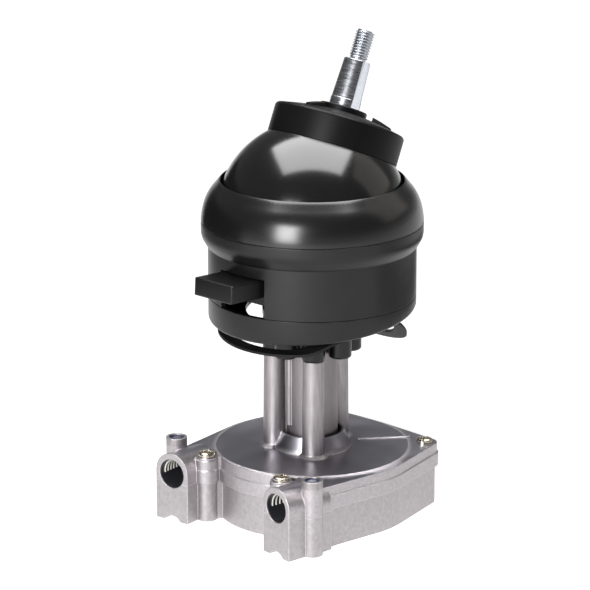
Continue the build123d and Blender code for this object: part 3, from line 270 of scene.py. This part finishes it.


# Turned stainless steel: the tool leaves fine rings round the axis, which blur its shine along the shaft. The
# milled flat on the taper is painted a pale bluish white as a highlight, and the cut thread is between the two
# in tone.
def makeTurnedSteel():
    look = {
        "dark": "#55575A", "pale": "#B0B3B8", "paintedFlatHighlight": "#E0E4EC", "thread": "#A9ACB2", "threadFromMm": 101.6,
        "ringMm": 0.6, "ringStretch": 0.08, "depthMm": 0.006, "edgeMm": 0.2, "roughness": (0.22, 0.40),
        "milled": (0.97, 0.99),
    }
    material, tree = newMaterial("turnedStainlessSteel")
    spot = addNode(tree, "ShaderNodeTexCoord").outputs["Object"]
    local = addNode(tree, "ShaderNodeMapping", {
        "Vector": spot, "Location": tuple(headPlace.inverted().translation),
        "Rotation": tuple(headPlace.inverted().to_euler())})
    rings = addNode(tree, "ShaderNodeMapping", {
        "Vector": local, "Scale": (look["ringStretch"], look["ringStretch"], 1.0)})
    ring = addNode(tree, "ShaderNodeTexNoise", {
        "Vector": rings, "Scale": 1 / (look["ringMm"] * mm), "Detail": 3.0, "Roughness": 0.6})
    turned = addNode(tree, "ShaderNodeMix", {
        "Factor": ring, "A": linear(look["dark"]), "B": linear(look["pale"])}, data_type="RGBA")
    normal = addNode(tree, "ShaderNodeNewGeometry").outputs["Normal"]
    sideways = addNode(tree, "ShaderNodeSeparateXYZ", {"Vector": normal}).outputs["X"]
    milled = addNode(tree, "ShaderNodeMapRange", {
        "Value": sideways, "From Min": look["milled"][0], "From Max": look["milled"][1]})
    along = addNode(tree, "ShaderNodeSeparateXYZ", {"Vector": local}).outputs["Z"]
    threaded = addNode(tree, "ShaderNodeMath", {
        0: along, 1: look["threadFromMm"] * mm}, operation="GREATER_THAN")
    cut = addNode(tree, "ShaderNodeMix", {
        "Factor": threaded, "A": turned, "B": linear(look["thread"])}, data_type="RGBA")
    # Where the milled flat faces sideways on the taper, the pale bluish colour is a painted highlight
    flat = addNode(tree, "ShaderNodeMath", {0: milled, 1: threaded}, operation="GREATER_THAN")
    tone = addNode(tree, "ShaderNodeMix", {
        "Factor": flat, "A": cut, "B": linear(look["paintedFlatHighlight"])}, data_type="RGBA")
    rough = addNode(tree, "ShaderNodeMapRange", {
        "Value": ring, "From Min": noiseLow, "From Max": noiseHigh,
        "To Min": look["roughness"][0], "To Max": look["roughness"][1]})
    edges = addNode(tree, "ShaderNodeBevel", {"Radius": look["edgeMm"] * mm}, samples=4)
    bump = addNode(tree, "ShaderNodeBump", {
        "Height": ring, "Distance": look["depthMm"] * mm, "Strength": 0.5, "Normal": edges})
    shader = addNode(tree, "ShaderNodeBsdfPrincipled", {
        "Base Color": tone, "Metallic": 1.0, "Roughness": rough, "Normal": bump})
    addNode(tree, "ShaderNodeOutputMaterial", {"Surface": shader})
    return material


# Other metals: plated ones are bright with a faint bloom, sintered gears are dull and pored
def makeMetal(name, dark, pale, roughness, poreMm, depthMm=0.02, edgeMm=0.25):
    material, tree = newMaterial(name)
    spot = addNode(tree, "ShaderNodeTexCoord").outputs["Object"]
    pore = addNode(tree, "ShaderNodeTexNoise", {"Vector": spot, "Scale": 1 / (poreMm * mm), "Detail": 3.0})
    tone = addNode(tree, "ShaderNodeMix", {
        "Factor": pore, "A": linear(dark), "B": linear(pale)}, data_type="RGBA")
    rough = addNode(tree, "ShaderNodeMapRange", {
        "Value": pore, "From Min": noiseLow, "From Max": noiseHigh,
        "To Min": roughness[0], "To Max": roughness[1]})
    edges = addNode(tree, "ShaderNodeBevel", {"Radius": edgeMm * mm}, samples=4)
    bump = addNode(tree, "ShaderNodeBump", {
        "Height": pore, "Distance": depthMm * mm, "Strength": 0.5, "Normal": edges})
    shader = addNode(tree, "ShaderNodeBsdfPrincipled", {
        "Base Color": tone, "Metallic": 1.0, "Roughness": rough, "Normal": bump})
    addNode(tree, "ShaderNodeOutputMaterial", {"Surface": shader})
    return material


# Moulded plastics and rubber: a spark-eroded mould leaves a fine grain on satin parts, a polished one none
def makePlastic(name, dark, pale, roughness, grainMm, depthMm, edgeMm=0.3, shine=0.5, cloudMm=24.0):
    material, tree = newMaterial(name)
    spot = addNode(tree, "ShaderNodeTexCoord").outputs["Object"]
    grain = addNode(tree, "ShaderNodeTexNoise", {
        "Vector": spot, "Scale": 1 / (grainMm * mm), "Detail": 2.0, "Roughness": 0.6})
    cloud = addNode(tree, "ShaderNodeTexNoise", {"Vector": spot, "Scale": 1 / (cloudMm * mm), "Detail": 2.0})
    tone = addNode(tree, "ShaderNodeMix", {
        "Factor": cloud, "A": linear(dark), "B": linear(pale)}, data_type="RGBA")
    rough = addNode(tree, "ShaderNodeMapRange", {
        "Value": grain, "From Min": noiseLow, "From Max": noiseHigh,
        "To Min": roughness[0], "To Max": roughness[1]})
    edges = addNode(tree, "ShaderNodeBevel", {"Radius": edgeMm * mm}, samples=4)
    bump = addNode(tree, "ShaderNodeBump", {
        "Height": grain, "Distance": depthMm * mm, "Strength": 0.5, "Normal": edges})
    shader = addNode(tree, "ShaderNodeBsdfPrincipled", {
        "Base Color": tone, "Roughness": rough, "IOR": 1.5, "Specular IOR Level": shine, "Normal": bump})
    addNode(tree, "ShaderNodeOutputMaterial", {"Surface": shader})
    return material


wallCasting = makeWallCasting()
lidCasting = makeLidCasting()
turnedSteel = makeTurnedSteel()
yellowZinc = makeMetal("yellowZincPlate", "#A39A88", "#DBD4C5", (0.18, 0.32), 1.5)
brightZinc = makeMetal("brightZincPlate", "#A3A5AA", "#CCCED2", (0.20, 0.34), 1.2)
sinteredSteel = makeMetal("sinteredSteel", "#626264", "#98989A", (0.38, 0.55), 0.5)
springSteel = makeMetal("drawnSpringSteel", "#76777A", "#9D9EA1", (0.28, 0.40), 0.6)
innerCasting = makeMetal("innerCastAluminium", "#A2A1A2", "#C4C3C4", (0.42, 0.58), 0.8, 0.05)
blueNylon = makePlastic("blueNylon", "#0F2A5E", "#1B418C", (0.35, 0.50), 0.4, 0.02, 0.2)
whiteAcetal = makePlastic("whiteAcetal", "#CDCBC3", "#E1DFD8", (0.38, 0.50), 0.4, 0.01)
drumNylon = makePlastic("glassFilledNylon", "#1E1E21", "#34343A", (0.28, 0.42), 0.5, 0.02)
satinBlack = makePlastic("satinBlackPlastic", "#0A0A0B", "#101011", (0.28, 0.36), 0.45, 0.05, 0.5, 0.36)
ballBlack = makePlastic("polishedBlackPlastic", "#0E0E0F", "#131314", (0.15, 0.18), 1.5, 0.003)
bezelBlack = makePlastic("glossBlackPlastic", "#0B0B0C", "#111112", (0.23, 0.26), 0.9, 0.002, 0.2, 0.5)
capBlack = makePlastic("semiGlossBlackPlastic", "#060606", "#0B0B0B", (0.36, 0.46), 0.6, 0.02, 0.5, 0.13)
leverBlack = makePlastic("satinLeverPlastic", "#0A0A0B", "#101011", (0.28, 0.38), 0.5, 0.03, 1.2, 0.33)
blackRubber = makePlastic("blackSheetRubber", "#0B0B0B", "#141414", (0.50, 0.66), 0.7, 0.05, 0.3, 0.2)
print("materials made")


# Edges sharper than the angle stay crisp, and the rest is shaded smooth
def markSmooth(mesh, sharpDegrees):
    work = bmesh.new()
    work.from_mesh(mesh)
    for face in work.faces:
        face.smooth = True
    for edge in work.edges:
        edge.smooth = len(edge.link_faces) != 2 or edge.calc_face_angle(0.0) < math.radians(sharpDegrees)
    work.to_mesh(mesh)
    work.free()


def addPiece(name, mesh, material, body, sharpDegrees=30.0):
    markSmooth(mesh, sharpDegrees)
    mesh.materials.clear()
    mesh.materials.append(material)
    piece = bpy.data.objects.new(name, mesh)
    bpy.context.scene.collection.objects.link(piece)
    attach(piece, body)
    return piece


# A merged, smoothly shaded copy of a solid that stands for it
def dress(node, material, sharpDegrees=30.0):
    source = frame["nodes"][node]
    work = bmesh.new()
    work.from_mesh(source.data)
    bmesh.ops.remove_doubles(work, verts=work.verts, dist=solidMerge)
    work.verts.index_update()
    corners = [[vert.index for vert in face.verts] for face in work.faces]
    mesh = bpy.data.meshes.new(node + "Mesh")
    mesh.from_pydata([vert.co.copy() for vert in work.verts], [], corners)
    work.free()
    piece = addPiece(node + "Piece", mesh, material, source["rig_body"], sharpDegrees)
    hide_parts(node)


# A closed outline of (radius, height) in millimetres, turned round the local Z axis
def turnOutline(name, outline, segments):
    verts = []
    faces = []
    count = len(outline)
    for step in range(segments):
        angle = 2 * math.pi * step / segments
        verts += [Vector((r * math.cos(angle), r * math.sin(angle), h)) * mm for r, h in outline]
        following = (step + 1) % segments
        for i in range(count):
            j = (i + 1) % count
            faces.append((step * count + i, following * count + i, following * count + j, step * count + j))
    mesh = bpy.data.meshes.new(name)
    mesh.from_pydata(verts, [], faces)
    work = bmesh.new()
    work.from_mesh(mesh)
    bmesh.ops.remove_doubles(work, verts=work.verts, dist=shapeMerge)
    bmesh.ops.recalc_face_normals(work, faces=work.faces)
    work.to_mesh(mesh)
    work.free()
    return mesh


# Runs a node tree once on a mesh and gives its result as a plain mesh
def runTree(tree, base, values):
    holder = bpy.data.objects.new("holder", base)
    bpy.context.scene.collection.objects.link(holder)
    modifier = holder.modifiers.new("nodes", "NODES")
    modifier.node_group = tree
    for socket in tree.interface.items_tree:
        if socket.name in values:
            modifier[socket.identifier] = values[socket.name]
    mesh = bpy.data.meshes.new_from_object(holder.evaluated_get(bpy.context.evaluated_depsgraph_get()))
    holder.modifiers.clear()
    bpy.data.objects.remove(holder)
    return mesh


def newTree(name, sockets):
    tree = bpy.data.node_groups.new(name, "GeometryNodeTree")
    tree.interface.new_socket(name="Geometry", in_out="OUTPUT", socket_type="NodeSocketGeometry")
    tree.interface.new_socket(name="Geometry", in_out="INPUT", socket_type="NodeSocketGeometry")
    for socketName, kind in sockets.items():
        tree.interface.new_socket(name=socketName, in_out="INPUT", socket_type="NodeSocket" + kind)
    return tree, addNode(tree, "NodeGroupInput").outputs


# Pan head screws with a slot and a shorter cross slot, each stopped at its own turn
lidScrew = {
    "headRadius": 5.2, "headHeight": 3.1, "rimShare": 0.35, "flank": 0.8, "crown": 0.75, "seatBelowTop": 3.2,
    "shankRadius": 2.45, "shankBevel": 0.7, "slotWidth": 1.4, "slotDepth": 1.6, "slotLength": 15.6,
    "crossLength": 6.4, "roundSteps": 8, "segments": 48, "seed": 4,
}


def makeScrewMesh(shankLength):
    radius, height, rim = lidScrew["headRadius"], lidScrew["headHeight"], lidScrew["rimShare"]
    outline = [(0.0, height)]
    for step in range(1, lidScrew["roundSteps"] + 1):
        angle = step / lidScrew["roundSteps"] * math.pi / 2
        outline.append((
            radius * math.sin(angle) ** lidScrew["flank"],
            height * (rim + (1 - rim) * math.cos(angle) ** lidScrew["crown"])))
    shank, bevel = lidScrew["shankRadius"], lidScrew["shankBevel"]
    outline += [(radius, 0.0), (shank, 0.0), (shank, bevel - shankLength),
                (shank - bevel, -shankLength), (0.0, -shankLength)]
    screw = bpy.data.objects.new("screwBlank", turnOutline("screwBlank", outline, lidScrew["segments"]))
    bpy.context.scene.collection.objects.link(screw)
    slots = ((lidScrew["slotLength"], lidScrew["slotWidth"]), (lidScrew["slotWidth"], lidScrew["crossLength"]))
    for number, (length, width) in enumerate(slots):
        cutter = bmesh.new()
        bmesh.ops.create_cube(cutter, size=1.0)
        size = Matrix.Diagonal((length * mm, width * mm, 2 * lidScrew["slotDepth"] * mm, 1.0))
        cutter.transform(Matrix.Translation((0, 0, height * mm)) @ size)
        mesh = bpy.data.meshes.new("slotCutter")
        cutter.to_mesh(mesh)
        cutter.free()
        tool = bpy.data.objects.new(f"slotCutter{number}", mesh)
        bpy.context.scene.collection.objects.link(tool)
        cut = screw.modifiers.new("slot", "BOOLEAN")
        cut.object = tool
        cut.operation = "DIFFERENCE"
        cut.solver = "EXACT"
    mesh = bpy.data.meshes.new_from_object(screw.evaluated_get(bpy.context.evaluated_depsgraph_get()))
    for cut in list(screw.modifiers):
        bpy.data.objects.remove(cut.object)
    bpy.data.objects.remove(screw)
    return mesh


def makeScrewTree():
    tree, given = newTree("lidScrewTree", {"Screw": "Object", "Seed": "Int", "Material": "Material"})
    shape = addNode(tree, "GeometryNodeObjectInfo", {"Object": given["Screw"]}).outputs["Geometry"]
    turn = addNode(tree, "FunctionNodeRandomValue", {
        "Min": (0.0, 0.0, 0.0), "Max": (0.0, 0.0, math.pi), "Seed": given["Seed"]}, data_type="FLOAT_VECTOR")
    placed = addNode(tree, "GeometryNodeInstanceOnPoints", {
        "Points": given["Geometry"], "Instance": shape, "Rotation": turn})
    whole = addNode(tree, "GeometryNodeRealizeInstances", {"Geometry": placed})
    finished = addNode(tree, "GeometryNodeSetMaterial", {"Geometry": whole, "Material": given["Material"]})
    addNode(tree, "NodeGroupOutput", {"Geometry": finished})
    return tree


# The solid's own screws give the places: the highest point of each one's head, and how deep the shank goes
def makeLidScrews():
    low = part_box("lid_screws")[0]
    groups = {}
    for vert in frame["nodes"]["lid_screws"].data.vertices:
        groups.setdefault((vert.co.x > 0, vert.co.y > 0), []).append(vert.co)
    seats = []
    for points in groups.values():
        middle = [(min(p[axis] for p in points) + max(p[axis] for p in points)) / 2 for axis in (0, 1)]
        seats.append(Vector((*middle, max(p.z for p in points) - lidScrew["seatBelowTop"] * mm)))
    screwMesh = makeScrewMesh(min(seat.z for seat in seats) / mm - low.z / mm)
    screw = bpy.data.objects.new("lidScrewShape", screwMesh)
    bpy.context.scene.collection.objects.link(screw)
    base = bpy.data.meshes.new("lidScrewSeats")
    base.from_pydata(seats, [], [])
    mesh = runTree(makeScrewTree(), base, {"Screw": screw, "Seed": lidScrew["seed"], "Material": yellowZinc})
    bpy.data.objects.remove(screw)
    piece = addPiece("lidScrews", mesh, yellowZinc, "gearbox")
    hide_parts("lid_screws")


# Teeth round the drum that push the cable: seen as upright slats through the ports
drumTeeth = {"count": 122, "innerRadius": 52.6, "outerRadius": 57.0, "width": 1.3, "low": 27.0, "high": 35.8}


def makeTeethTree():
    tree, given = newTree("drumTeethTree", {
        "Teeth": "Int", "Circle Radius": "Float", "Tooth Size": "Vector", "Height": "Float",
        "Material": "Material"})
    circle = addNode(tree, "GeometryNodeMeshCircle", {
        "Vertices": given["Teeth"], "Radius": given["Circle Radius"]})
    lift = addNode(tree, "ShaderNodeCombineXYZ", {"Z": given["Height"]})
    raised = addNode(tree, "GeometryNodeTransform", {"Geometry": circle, "Translation": lift})
    tooth = addNode(tree, "GeometryNodeMeshCube", {"Size": given["Tooth Size"]}).outputs["Mesh"]
    step = addNode(tree, "ShaderNodeMath", {0: 2 * math.pi, 1: given["Teeth"]}, operation="DIVIDE")
    angle = addNode(tree, "ShaderNodeMath", {
        0: addNode(tree, "GeometryNodeInputIndex"), 1: step}, operation="MULTIPLY")
    placed = addNode(tree, "GeometryNodeInstanceOnPoints", {
        "Points": raised, "Instance": tooth, "Rotation": addNode(tree, "ShaderNodeCombineXYZ", {"Z": angle})})
    whole = addNode(tree, "GeometryNodeRealizeInstances", {"Geometry": placed})
    finished = addNode(tree, "GeometryNodeSetMaterial", {"Geometry": whole, "Material": given["Material"]})
    addNode(tree, "NodeGroupOutput", {"Geometry": finished})
    return tree


def makeDrumTeeth():
    inner, outer = drumTeeth["innerRadius"] * mm, drumTeeth["outerRadius"] * mm
    low, high = drumTeeth["low"] * mm, drumTeeth["high"] * mm
    mesh = runTree(makeTeethTree(), bpy.data.meshes.new("drumTeethBase"), {
        "Teeth": drumTeeth["count"], "Circle Radius": (inner + outer) / 2,
        "Tooth Size": (outer - inner, drumTeeth["width"] * mm, high - low), "Height": (low + high) / 2,
        "Material": drumNylon})
    addPiece("drumTeeth", mesh, drumNylon, "drum")


# Dark sleeve in each cable port, and the pale ribs that grip the cable's end, seen through its mouth
cablePort = {
    "sleeveRadius": 9.35, "sleeveWall": 0.35, "mouthInset": 0.8, "sleeveLength": 30.0,
    "ribRadius": 8.4, "ribThickness": 0.55, "ribStep": 2.9, "ribCount": 6, "ribStart": 4.0,
    "ribFrom": 95.0, "ribTo": 190.0, "ribSteps": 16, "ribSides": 8, "roundSteps": 64,
}


def makeRibTree():
    tree, given = newTree("portRibTree", {
        "Ribs": "Int", "Step": "Float", "Start": "Float", "Radius": "Float", "Thickness": "Float",
        "From": "Float", "Sweep": "Float", "Material": "Material"})
    bend = addNode(tree, "GeometryNodeCurveArc", {
        "Radius": given["Radius"], "Start Angle": given["From"], "Sweep Angle": given["Sweep"],
        "Resolution": cablePort["ribSteps"]}).outputs["Curve"]
    wire = addNode(tree, "GeometryNodeCurvePrimitiveCircle", {
        "Resolution": cablePort["ribSides"], "Radius": given["Thickness"]}).outputs["Curve"]
    rib = addNode(tree, "GeometryNodeCurveToMesh", {"Curve": bend, "Profile Curve": wire, "Fill Caps": True})
    start = addNode(tree, "ShaderNodeCombineXYZ", {"Z": given["Start"]})
    step = addNode(tree, "ShaderNodeCombineXYZ", {"Z": given["Step"]})
    row = addNode(tree, "GeometryNodeMeshLine", {
        "Count": given["Ribs"], "Start Location": start, "Offset": step})
    placed = addNode(tree, "GeometryNodeInstanceOnPoints", {"Points": row, "Instance": rib})
    whole = addNode(tree, "GeometryNodeRealizeInstances", {"Geometry": placed})
    finished = addNode(tree, "GeometryNodeSetMaterial", {"Geometry": whole, "Material": given["Material"]})
    addNode(tree, "NodeGroupOutput", {"Geometry": finished})
    return tree


# The record's mounts give each bore's place and direction
def makePortInsides():
    tree = makeRibTree()
    for mount in frame["record"]["mounts"]:
        if not mount["name"].startswith("cable_port"):
            continue
        inward = -Vector(mount["axis"]).normalized()
        half = mount["dims"]["length_mm"] / 2
        turned = Matrix((inward.cross(zAxis), zAxis, inward)).transposed().to_4x4()
        place = Matrix.Translation(Vector(mount["pos_m"]) - inward * half * mm) @ turned
        side = mount["name"].rsplit("_", 1)[1]
        outer, inner = cablePort["sleeveRadius"], cablePort["sleeveRadius"] - cablePort["sleeveWall"]
        low, high = cablePort["mouthInset"], cablePort["mouthInset"] + cablePort["sleeveLength"]
        outline = [(outer, low), (outer, high), (inner, high), (inner, low)]
        sleeve = turnOutline("portSleeve", outline, cablePort["roundSteps"])
        sleeve.transform(place)
        addPiece("portSleeve" + side, sleeve, drumNylon, "gearbox")
        ribs = runTree(tree, bpy.data.meshes.new("portRibBase"), {
            "Ribs": cablePort["ribCount"], "Step": cablePort["ribStep"] * mm,
            "Start": cablePort["ribStart"] * mm, "Radius": cablePort["ribRadius"] * mm,
            "Thickness": cablePort["ribThickness"] * mm, "From": math.radians(cablePort["ribFrom"]),
            "Sweep": math.radians(cablePort["ribTo"] - cablePort["ribFrom"]), "Material": whiteAcetal})
        ribs.transform(place)
        addPiece("portRibs" + side, ribs, whiteAcetal, "gearbox")


# Wheel shaft in (radius, height), heights from the ball's centre, with a cut thread and a milled flat
wheelShaft = {
    "body": ((0.0, 9.6), (8.0, 9.6), (8.0, 18.0), (9.0, 18.0), (9.0, 63.4), (9.8, 63.4), (9.8, 68.7),
             (8.1, 68.7), (8.1, 69.9), (9.8, 69.9), (9.8, 75.7), (9.525, 76.0), (8.484, 101.0),
             (8.0, 101.5), (5.0, 101.5), (5.0, 102.6)),
    "taperLow": 76.0, "taperRadius": 9.525, "taperSlope": 24.0, "shoulder": (101.4, 101.6),
    "shoulderRadius": 8.45, "flatLow": 67.8, "flatTurn": 22.0,
    "threadLow": 102.6, "threadHigh": 120.9, "threadRadius": 6.05, "neckRadius": 5.0, "threadFlat": 5.35,
    "pitch": 1.8, "depth": 0.95, "crestShare": 0.12, "flankShare": 0.76, "runIn": 1.0, "tipBevel": 1.1,
    "rowsPerTurn": 14, "segments": 144,
}


# How far out the milled flat lets the shaft reach: it follows the taper, and the thread has a shallower one
def shaftFlat(height):
    shoulderLow, shoulderHigh = wheelShaft["shoulder"]
    if height < wheelShaft["flatLow"]:
        return math.inf
    if height > shoulderHigh:
        return wheelShaft["threadFlat"]
    radius = wheelShaft["shoulderRadius"]
    if height <= shoulderLow:
        radius = wheelShaft["taperRadius"] + (wheelShaft["taperLow"] - height) / wheelShaft["taperSlope"]
    return radius * math.cos(math.radians(wheelShaft["flatTurn"]))


# Share of the thread's depth at a place along one pitch: narrow crest, straight flanks, narrow root
def threadSink(share):
    share = share % 1.0
    return min(1.0, max(0.0, (abs(share - 0.5) * 2 - wheelShaft["crestShare"]) / wheelShaft["flankShare"]))


def makeWheelShaft():
    rows = [(height, radius, 0.0) for radius, height in wheelShaft["body"]]
    low, high = wheelShaft["threadLow"], wheelShaft["threadHigh"]
    count = round((high - low) / wheelShaft["pitch"] * wheelShaft["rowsPerTurn"])
    for row in range(1, count + 1):
        height = low + (high - low) * row / count
        fade = min(1.0, (height - low) / wheelShaft["runIn"])
        tip = max(0.0, height - (high - wheelShaft["tipBevel"]))
        rows.append((height, wheelShaft["threadRadius"] - tip, fade))
    rows.append((high, 0.0, 0.0))
    verts = []
    faces = []
    segments, neck = wheelShaft["segments"], wheelShaft["neckRadius"]
    for height, radius, fade in rows:
        for step in range(segments):
            angle = 2 * math.pi * step / segments
            reach = radius
            if fade:
                sink = threadSink(height / wheelShaft["pitch"] - step / segments)
                reach = neck + (radius - wheelShaft["depth"] * sink - neck) * fade
            x = min(reach * math.cos(angle), shaftFlat(height))
            verts.append(headPlace @ (Vector((x, reach * math.sin(angle), height)) * mm))
    for row in range(len(rows) - 1):
        for step in range(segments):
            following = (step + 1) % segments
            faces.append((row * segments + step, row * segments + following,
                          (row + 1) * segments + following, (row + 1) * segments + step))
    mesh = bpy.data.meshes.new("wheelShaft")
    mesh.from_pydata(verts, [], faces)
    work = bmesh.new()
    work.from_mesh(mesh)
    bmesh.ops.remove_doubles(work, verts=work.verts, dist=shapeMerge)
    bmesh.ops.recalc_face_normals(work, faces=work.faces)
    work.to_mesh(mesh)
    work.free()
    piece = addPiece("wheelShaft", mesh, turnedSteel, "wheel_drive")
    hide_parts("wheel_shaft")


makeLidScrews()
makeDrumTeeth()
makePortInsides()
makeWheelShaft()
print("screws, teeth, port sleeves and shaft made")

# Pieces that keep the solid's own shape
keptShapes = (
    (wallCasting, "cast_aluminium", ("gearbox_base",)),
    (lidCasting, "cast_aluminium_lid", ("gearbox_lid",)),
    (brightZinc, "plated_steel", ("port_lock_bolts", "port_lock_nuts", "planet_pins", "post_screws",
                                  "tilt_pivot_pins", "lever_pins", "cap_screws")),
    (blueNylon, "blue_nylon", ("nylon_collars",)),
    (sinteredSteel, "gear_steel", ("ring_gear", "planet_gear_1", "planet_gear_2", "planet_gear_3",
                                   "lower_yoke", "joint_centre", "upper_yoke", "joint_stubs",
                                   "lock_sector", "lock_pawl")),
    (drumNylon, "drum_nylon", ("cable_drum",)),
    (whiteAcetal, "bush_acetal", ("foot_bush", "lower_bush", "upper_bush", "shaft_bearing")),
    (turnedSteel, "shaft_steel", ("drive_shaft",)),
    (satinBlack, "housing_plastic", ("housing_base", "tilt_housing")),
    (bezelBlack, "bezel_plastic", ("bezel_ring",)),
    (blackRubber, "gasket_rubber", ("dash_gasket",)),
    (innerCasting, "frame_alloy", ("cradle", "tilt_frame")),
    (ballBlack, "ball_plastic", ("ball_dome",)),
    (capBlack, "cap_plastic", ("head_cap", "hub_disc")),
    (leverBlack, "lever_plastic", ("release_lever",)),
    (springSteel, "spring_wire", ("snap_ring", "lever_spring")),
)
for material, slotName, nodes in keptShapes:
    for node in nodes:
        dress(node, material)
print("solids dressed")


# Studio: white table, dim room, a softbox overhead, a key box at the left, a dim warm card at the right, and
# two dark flags. The table lies a hair below the helm, so that the two don't share a plane.
studio = {
    "aimHeight": 0.19, "floorSize": 14.0, "tableGap": 0.0002, "tableColour": "#E6E6E6", "tableGlow": 0.75,
    "roomTone": 0.17, "roomFill": 1.6, "horizonTone": 0.5, "horizonLow": 0.02, "horizonHigh": 0.16,
    "overheadHeight": 0.90, "overheadBack": 0.09, "overheadSize": (1.15, 0.90), "overheadWithin": 0.2,
    "overheadReflection": 8.0, "overheadLight": 1.6,
    "keyTurn": -26.0, "keyRise": 14.0, "keyDistance": 1.45, "keySize": (0.52, 0.72), "keyRadiance": 17.5,
    "cardTurn": 103.0, "cardRise": 32.0, "cardDistance": 1.2, "cardSize": (0.9, 0.8), "cardRadiance": 0.6,
    "cardColour": (1.0, 0.93, 0.86),
    "flags": ((-112.0, 0.55, 0.90, 0.34), (112.0, 0.40, 0.70, 0.07)),    # turn, distance, width, height
    "flagColour": "#383838", "wattsPerRadiance": 4.0,
}


def makeTable():
    material, tree = newMaterial("whiteTable")
    path = addNode(tree, "ShaderNodeLightPath").outputs
    mirrored = addNode(tree, "ShaderNodeMath", {0: path["Is Camera Ray"], 1: path["Is Glossy Ray"]},
                       operation="MAXIMUM")
    seen = addNode(tree, "ShaderNodeMath", {0: mirrored, 1: path["Is Transmission Ray"]}, operation="MAXIMUM")
    lift = addNode(tree, "ShaderNodeMath", {0: seen, 1: studio["tableGlow"]}, operation="MULTIPLY")
    glow = addNode(tree, "ShaderNodeEmission", {"Strength": lift})
    paper = addNode(tree, "ShaderNodeBsdfDiffuse", {"Color": linear(studio["tableColour"])})
    both = addNode(tree, "ShaderNodeAddShader", {0: glow, 1: paper})
    addNode(tree, "ShaderNodeOutputMaterial", {"Surface": both})
    half, low = studio["floorSize"] / 2, -studio["tableGap"]
    corners = [(-half, -half, low), (half, -half, low), (half, half, low), (-half, half, low)]
    mesh = bpy.data.meshes.new("whiteTable")
    mesh.from_pydata(corners, [], [(0, 1, 2, 3)])
    mesh.materials.append(material)
    table = bpy.data.objects.new("whiteTable", mesh)
    bpy.context.scene.collection.objects.link(table)


# Dark cards standing out of sight at both sides, so that the black plastics keep dark flanks
def makeFlags():
    material, tree = newMaterial("darkFlag")
    cloth = addNode(tree, "ShaderNodeBsdfDiffuse", {"Color": linear(studio["flagColour"])})
    addNode(tree, "ShaderNodeOutputMaterial", {"Surface": cloth})
    for number, (turn, distance, width, height) in enumerate(studio["flags"]):
        foot = placeAround(turn, 0.0, distance)
        foot.z = mm
        along = zAxis.cross(foot).normalized() * width / 2
        corners = [foot - along, foot + along, foot + along + zAxis * height, foot - along + zAxis * height]
        mesh = bpy.data.meshes.new("darkFlag")
        mesh.from_pydata(corners, [], [(0, 1, 2, 3)])
        mesh.materials.append(material)
        flag = bpy.data.objects.new(f"darkFlag{number}", mesh)
        bpy.context.scene.collection.objects.link(flag)
        flag.visible_camera = False
        flag.visible_diffuse = False
        flag.visible_shadow = False


# White where the camera looks past the table, brighter near the horizon in reflections, and dim above
def makeRoom():
    world = bpy.data.worlds.new("studioRoom")
    bpy.context.scene.world = world
    world.use_nodes = True
    tree = world.node_tree
    tree.nodes.clear()
    path = addNode(tree, "ShaderNodeLightPath").outputs
    direct = addNode(tree, "ShaderNodeMath", {0: path["Is Camera Ray"], 1: path["Is Transmission Ray"]},
                     operation="MAXIMUM")
    direction = addNode(tree, "ShaderNodeTexCoord").outputs["Generated"]
    rise = addNode(tree, "ShaderNodeSeparateXYZ", {"Vector": direction}).outputs["Z"]
    mirrored = addNode(tree, "ShaderNodeMapRange", {
        "Value": rise, "From Min": studio["horizonLow"], "From Max": studio["horizonHigh"],
        "To Min": studio["horizonTone"], "To Max": studio["roomTone"]})
    indirect = addNode(tree, "ShaderNodeMix", {
        "Factor": path["Is Glossy Ray"], "A": studio["roomTone"] * studio["roomFill"], "B": mirrored})
    strength = addNode(tree, "ShaderNodeMix", {"Factor": direct, "A": indirect, "B": 1.0})
    light = addNode(tree, "ShaderNodeBackground", {"Color": (1, 1, 1, 1), "Strength": strength})
    addNode(tree, "ShaderNodeOutputWorld", {"Surface": light})


# A rectangular lamp of a given radiance, aimed at the middle of the object
def makeLamp(name, place, size, radiance, colour=(1.0, 1.0, 1.0), diffuse=True, glossy=True):
    data = bpy.data.lights.new(name, "AREA")
    data.shape = "RECTANGLE"
    data.size, data.size_y = size
    data.energy = studio["wattsPerRadiance"] * size[0] * size[1] * radiance
    data.color = colour
    lamp = bpy.data.objects.new(name, data)
    bpy.context.scene.collection.objects.link(lamp)
    back = place - zAxis * studio["aimHeight"]
    sideways = toRight if back.xy.length < studio["overheadWithin"] else zAxis.cross(back).normalized()
    back = back.normalized()
    turned = Matrix((sideways, back.cross(sideways), back)).transposed().to_4x4()
    lamp.matrix_world = Matrix.Translation(place) @ turned
    lamp.visible_diffuse = diffuse
    lamp.visible_glossy = glossy
    lamp.visible_camera = False


def placeAround(turn, rise, distance):
    level = toCamera * math.cos(math.radians(turn)) + toRight * math.sin(math.radians(turn))
    along = level * math.cos(math.radians(rise)) + zAxis * math.sin(math.radians(rise))
    return along * distance + zAxis * studio["aimHeight"]


makeTable()
makeFlags()
makeRoom()
overhead = zAxis * (studio["aimHeight"] + studio["overheadHeight"]) - toCamera * studio["overheadBack"]
makeLamp("overheadReflection", overhead, studio["overheadSize"], studio["overheadReflection"], diffuse=False)
makeLamp("overheadLight", overhead, studio["overheadSize"], studio["overheadLight"], glossy=False)
makeLamp("keyBox", placeAround(studio["keyTurn"], studio["keyRise"], studio["keyDistance"]),
         studio["keySize"], studio["keyRadiance"])
makeLamp("warmCard", placeAround(studio["cardTurn"], studio["cardRise"], studio["cardDistance"]),
         studio["cardSize"], studio["cardRadiance"], colour=studio["cardColour"])
print("studio lit")

bpy.context.scene.view_settings.view_transform = "Standard"
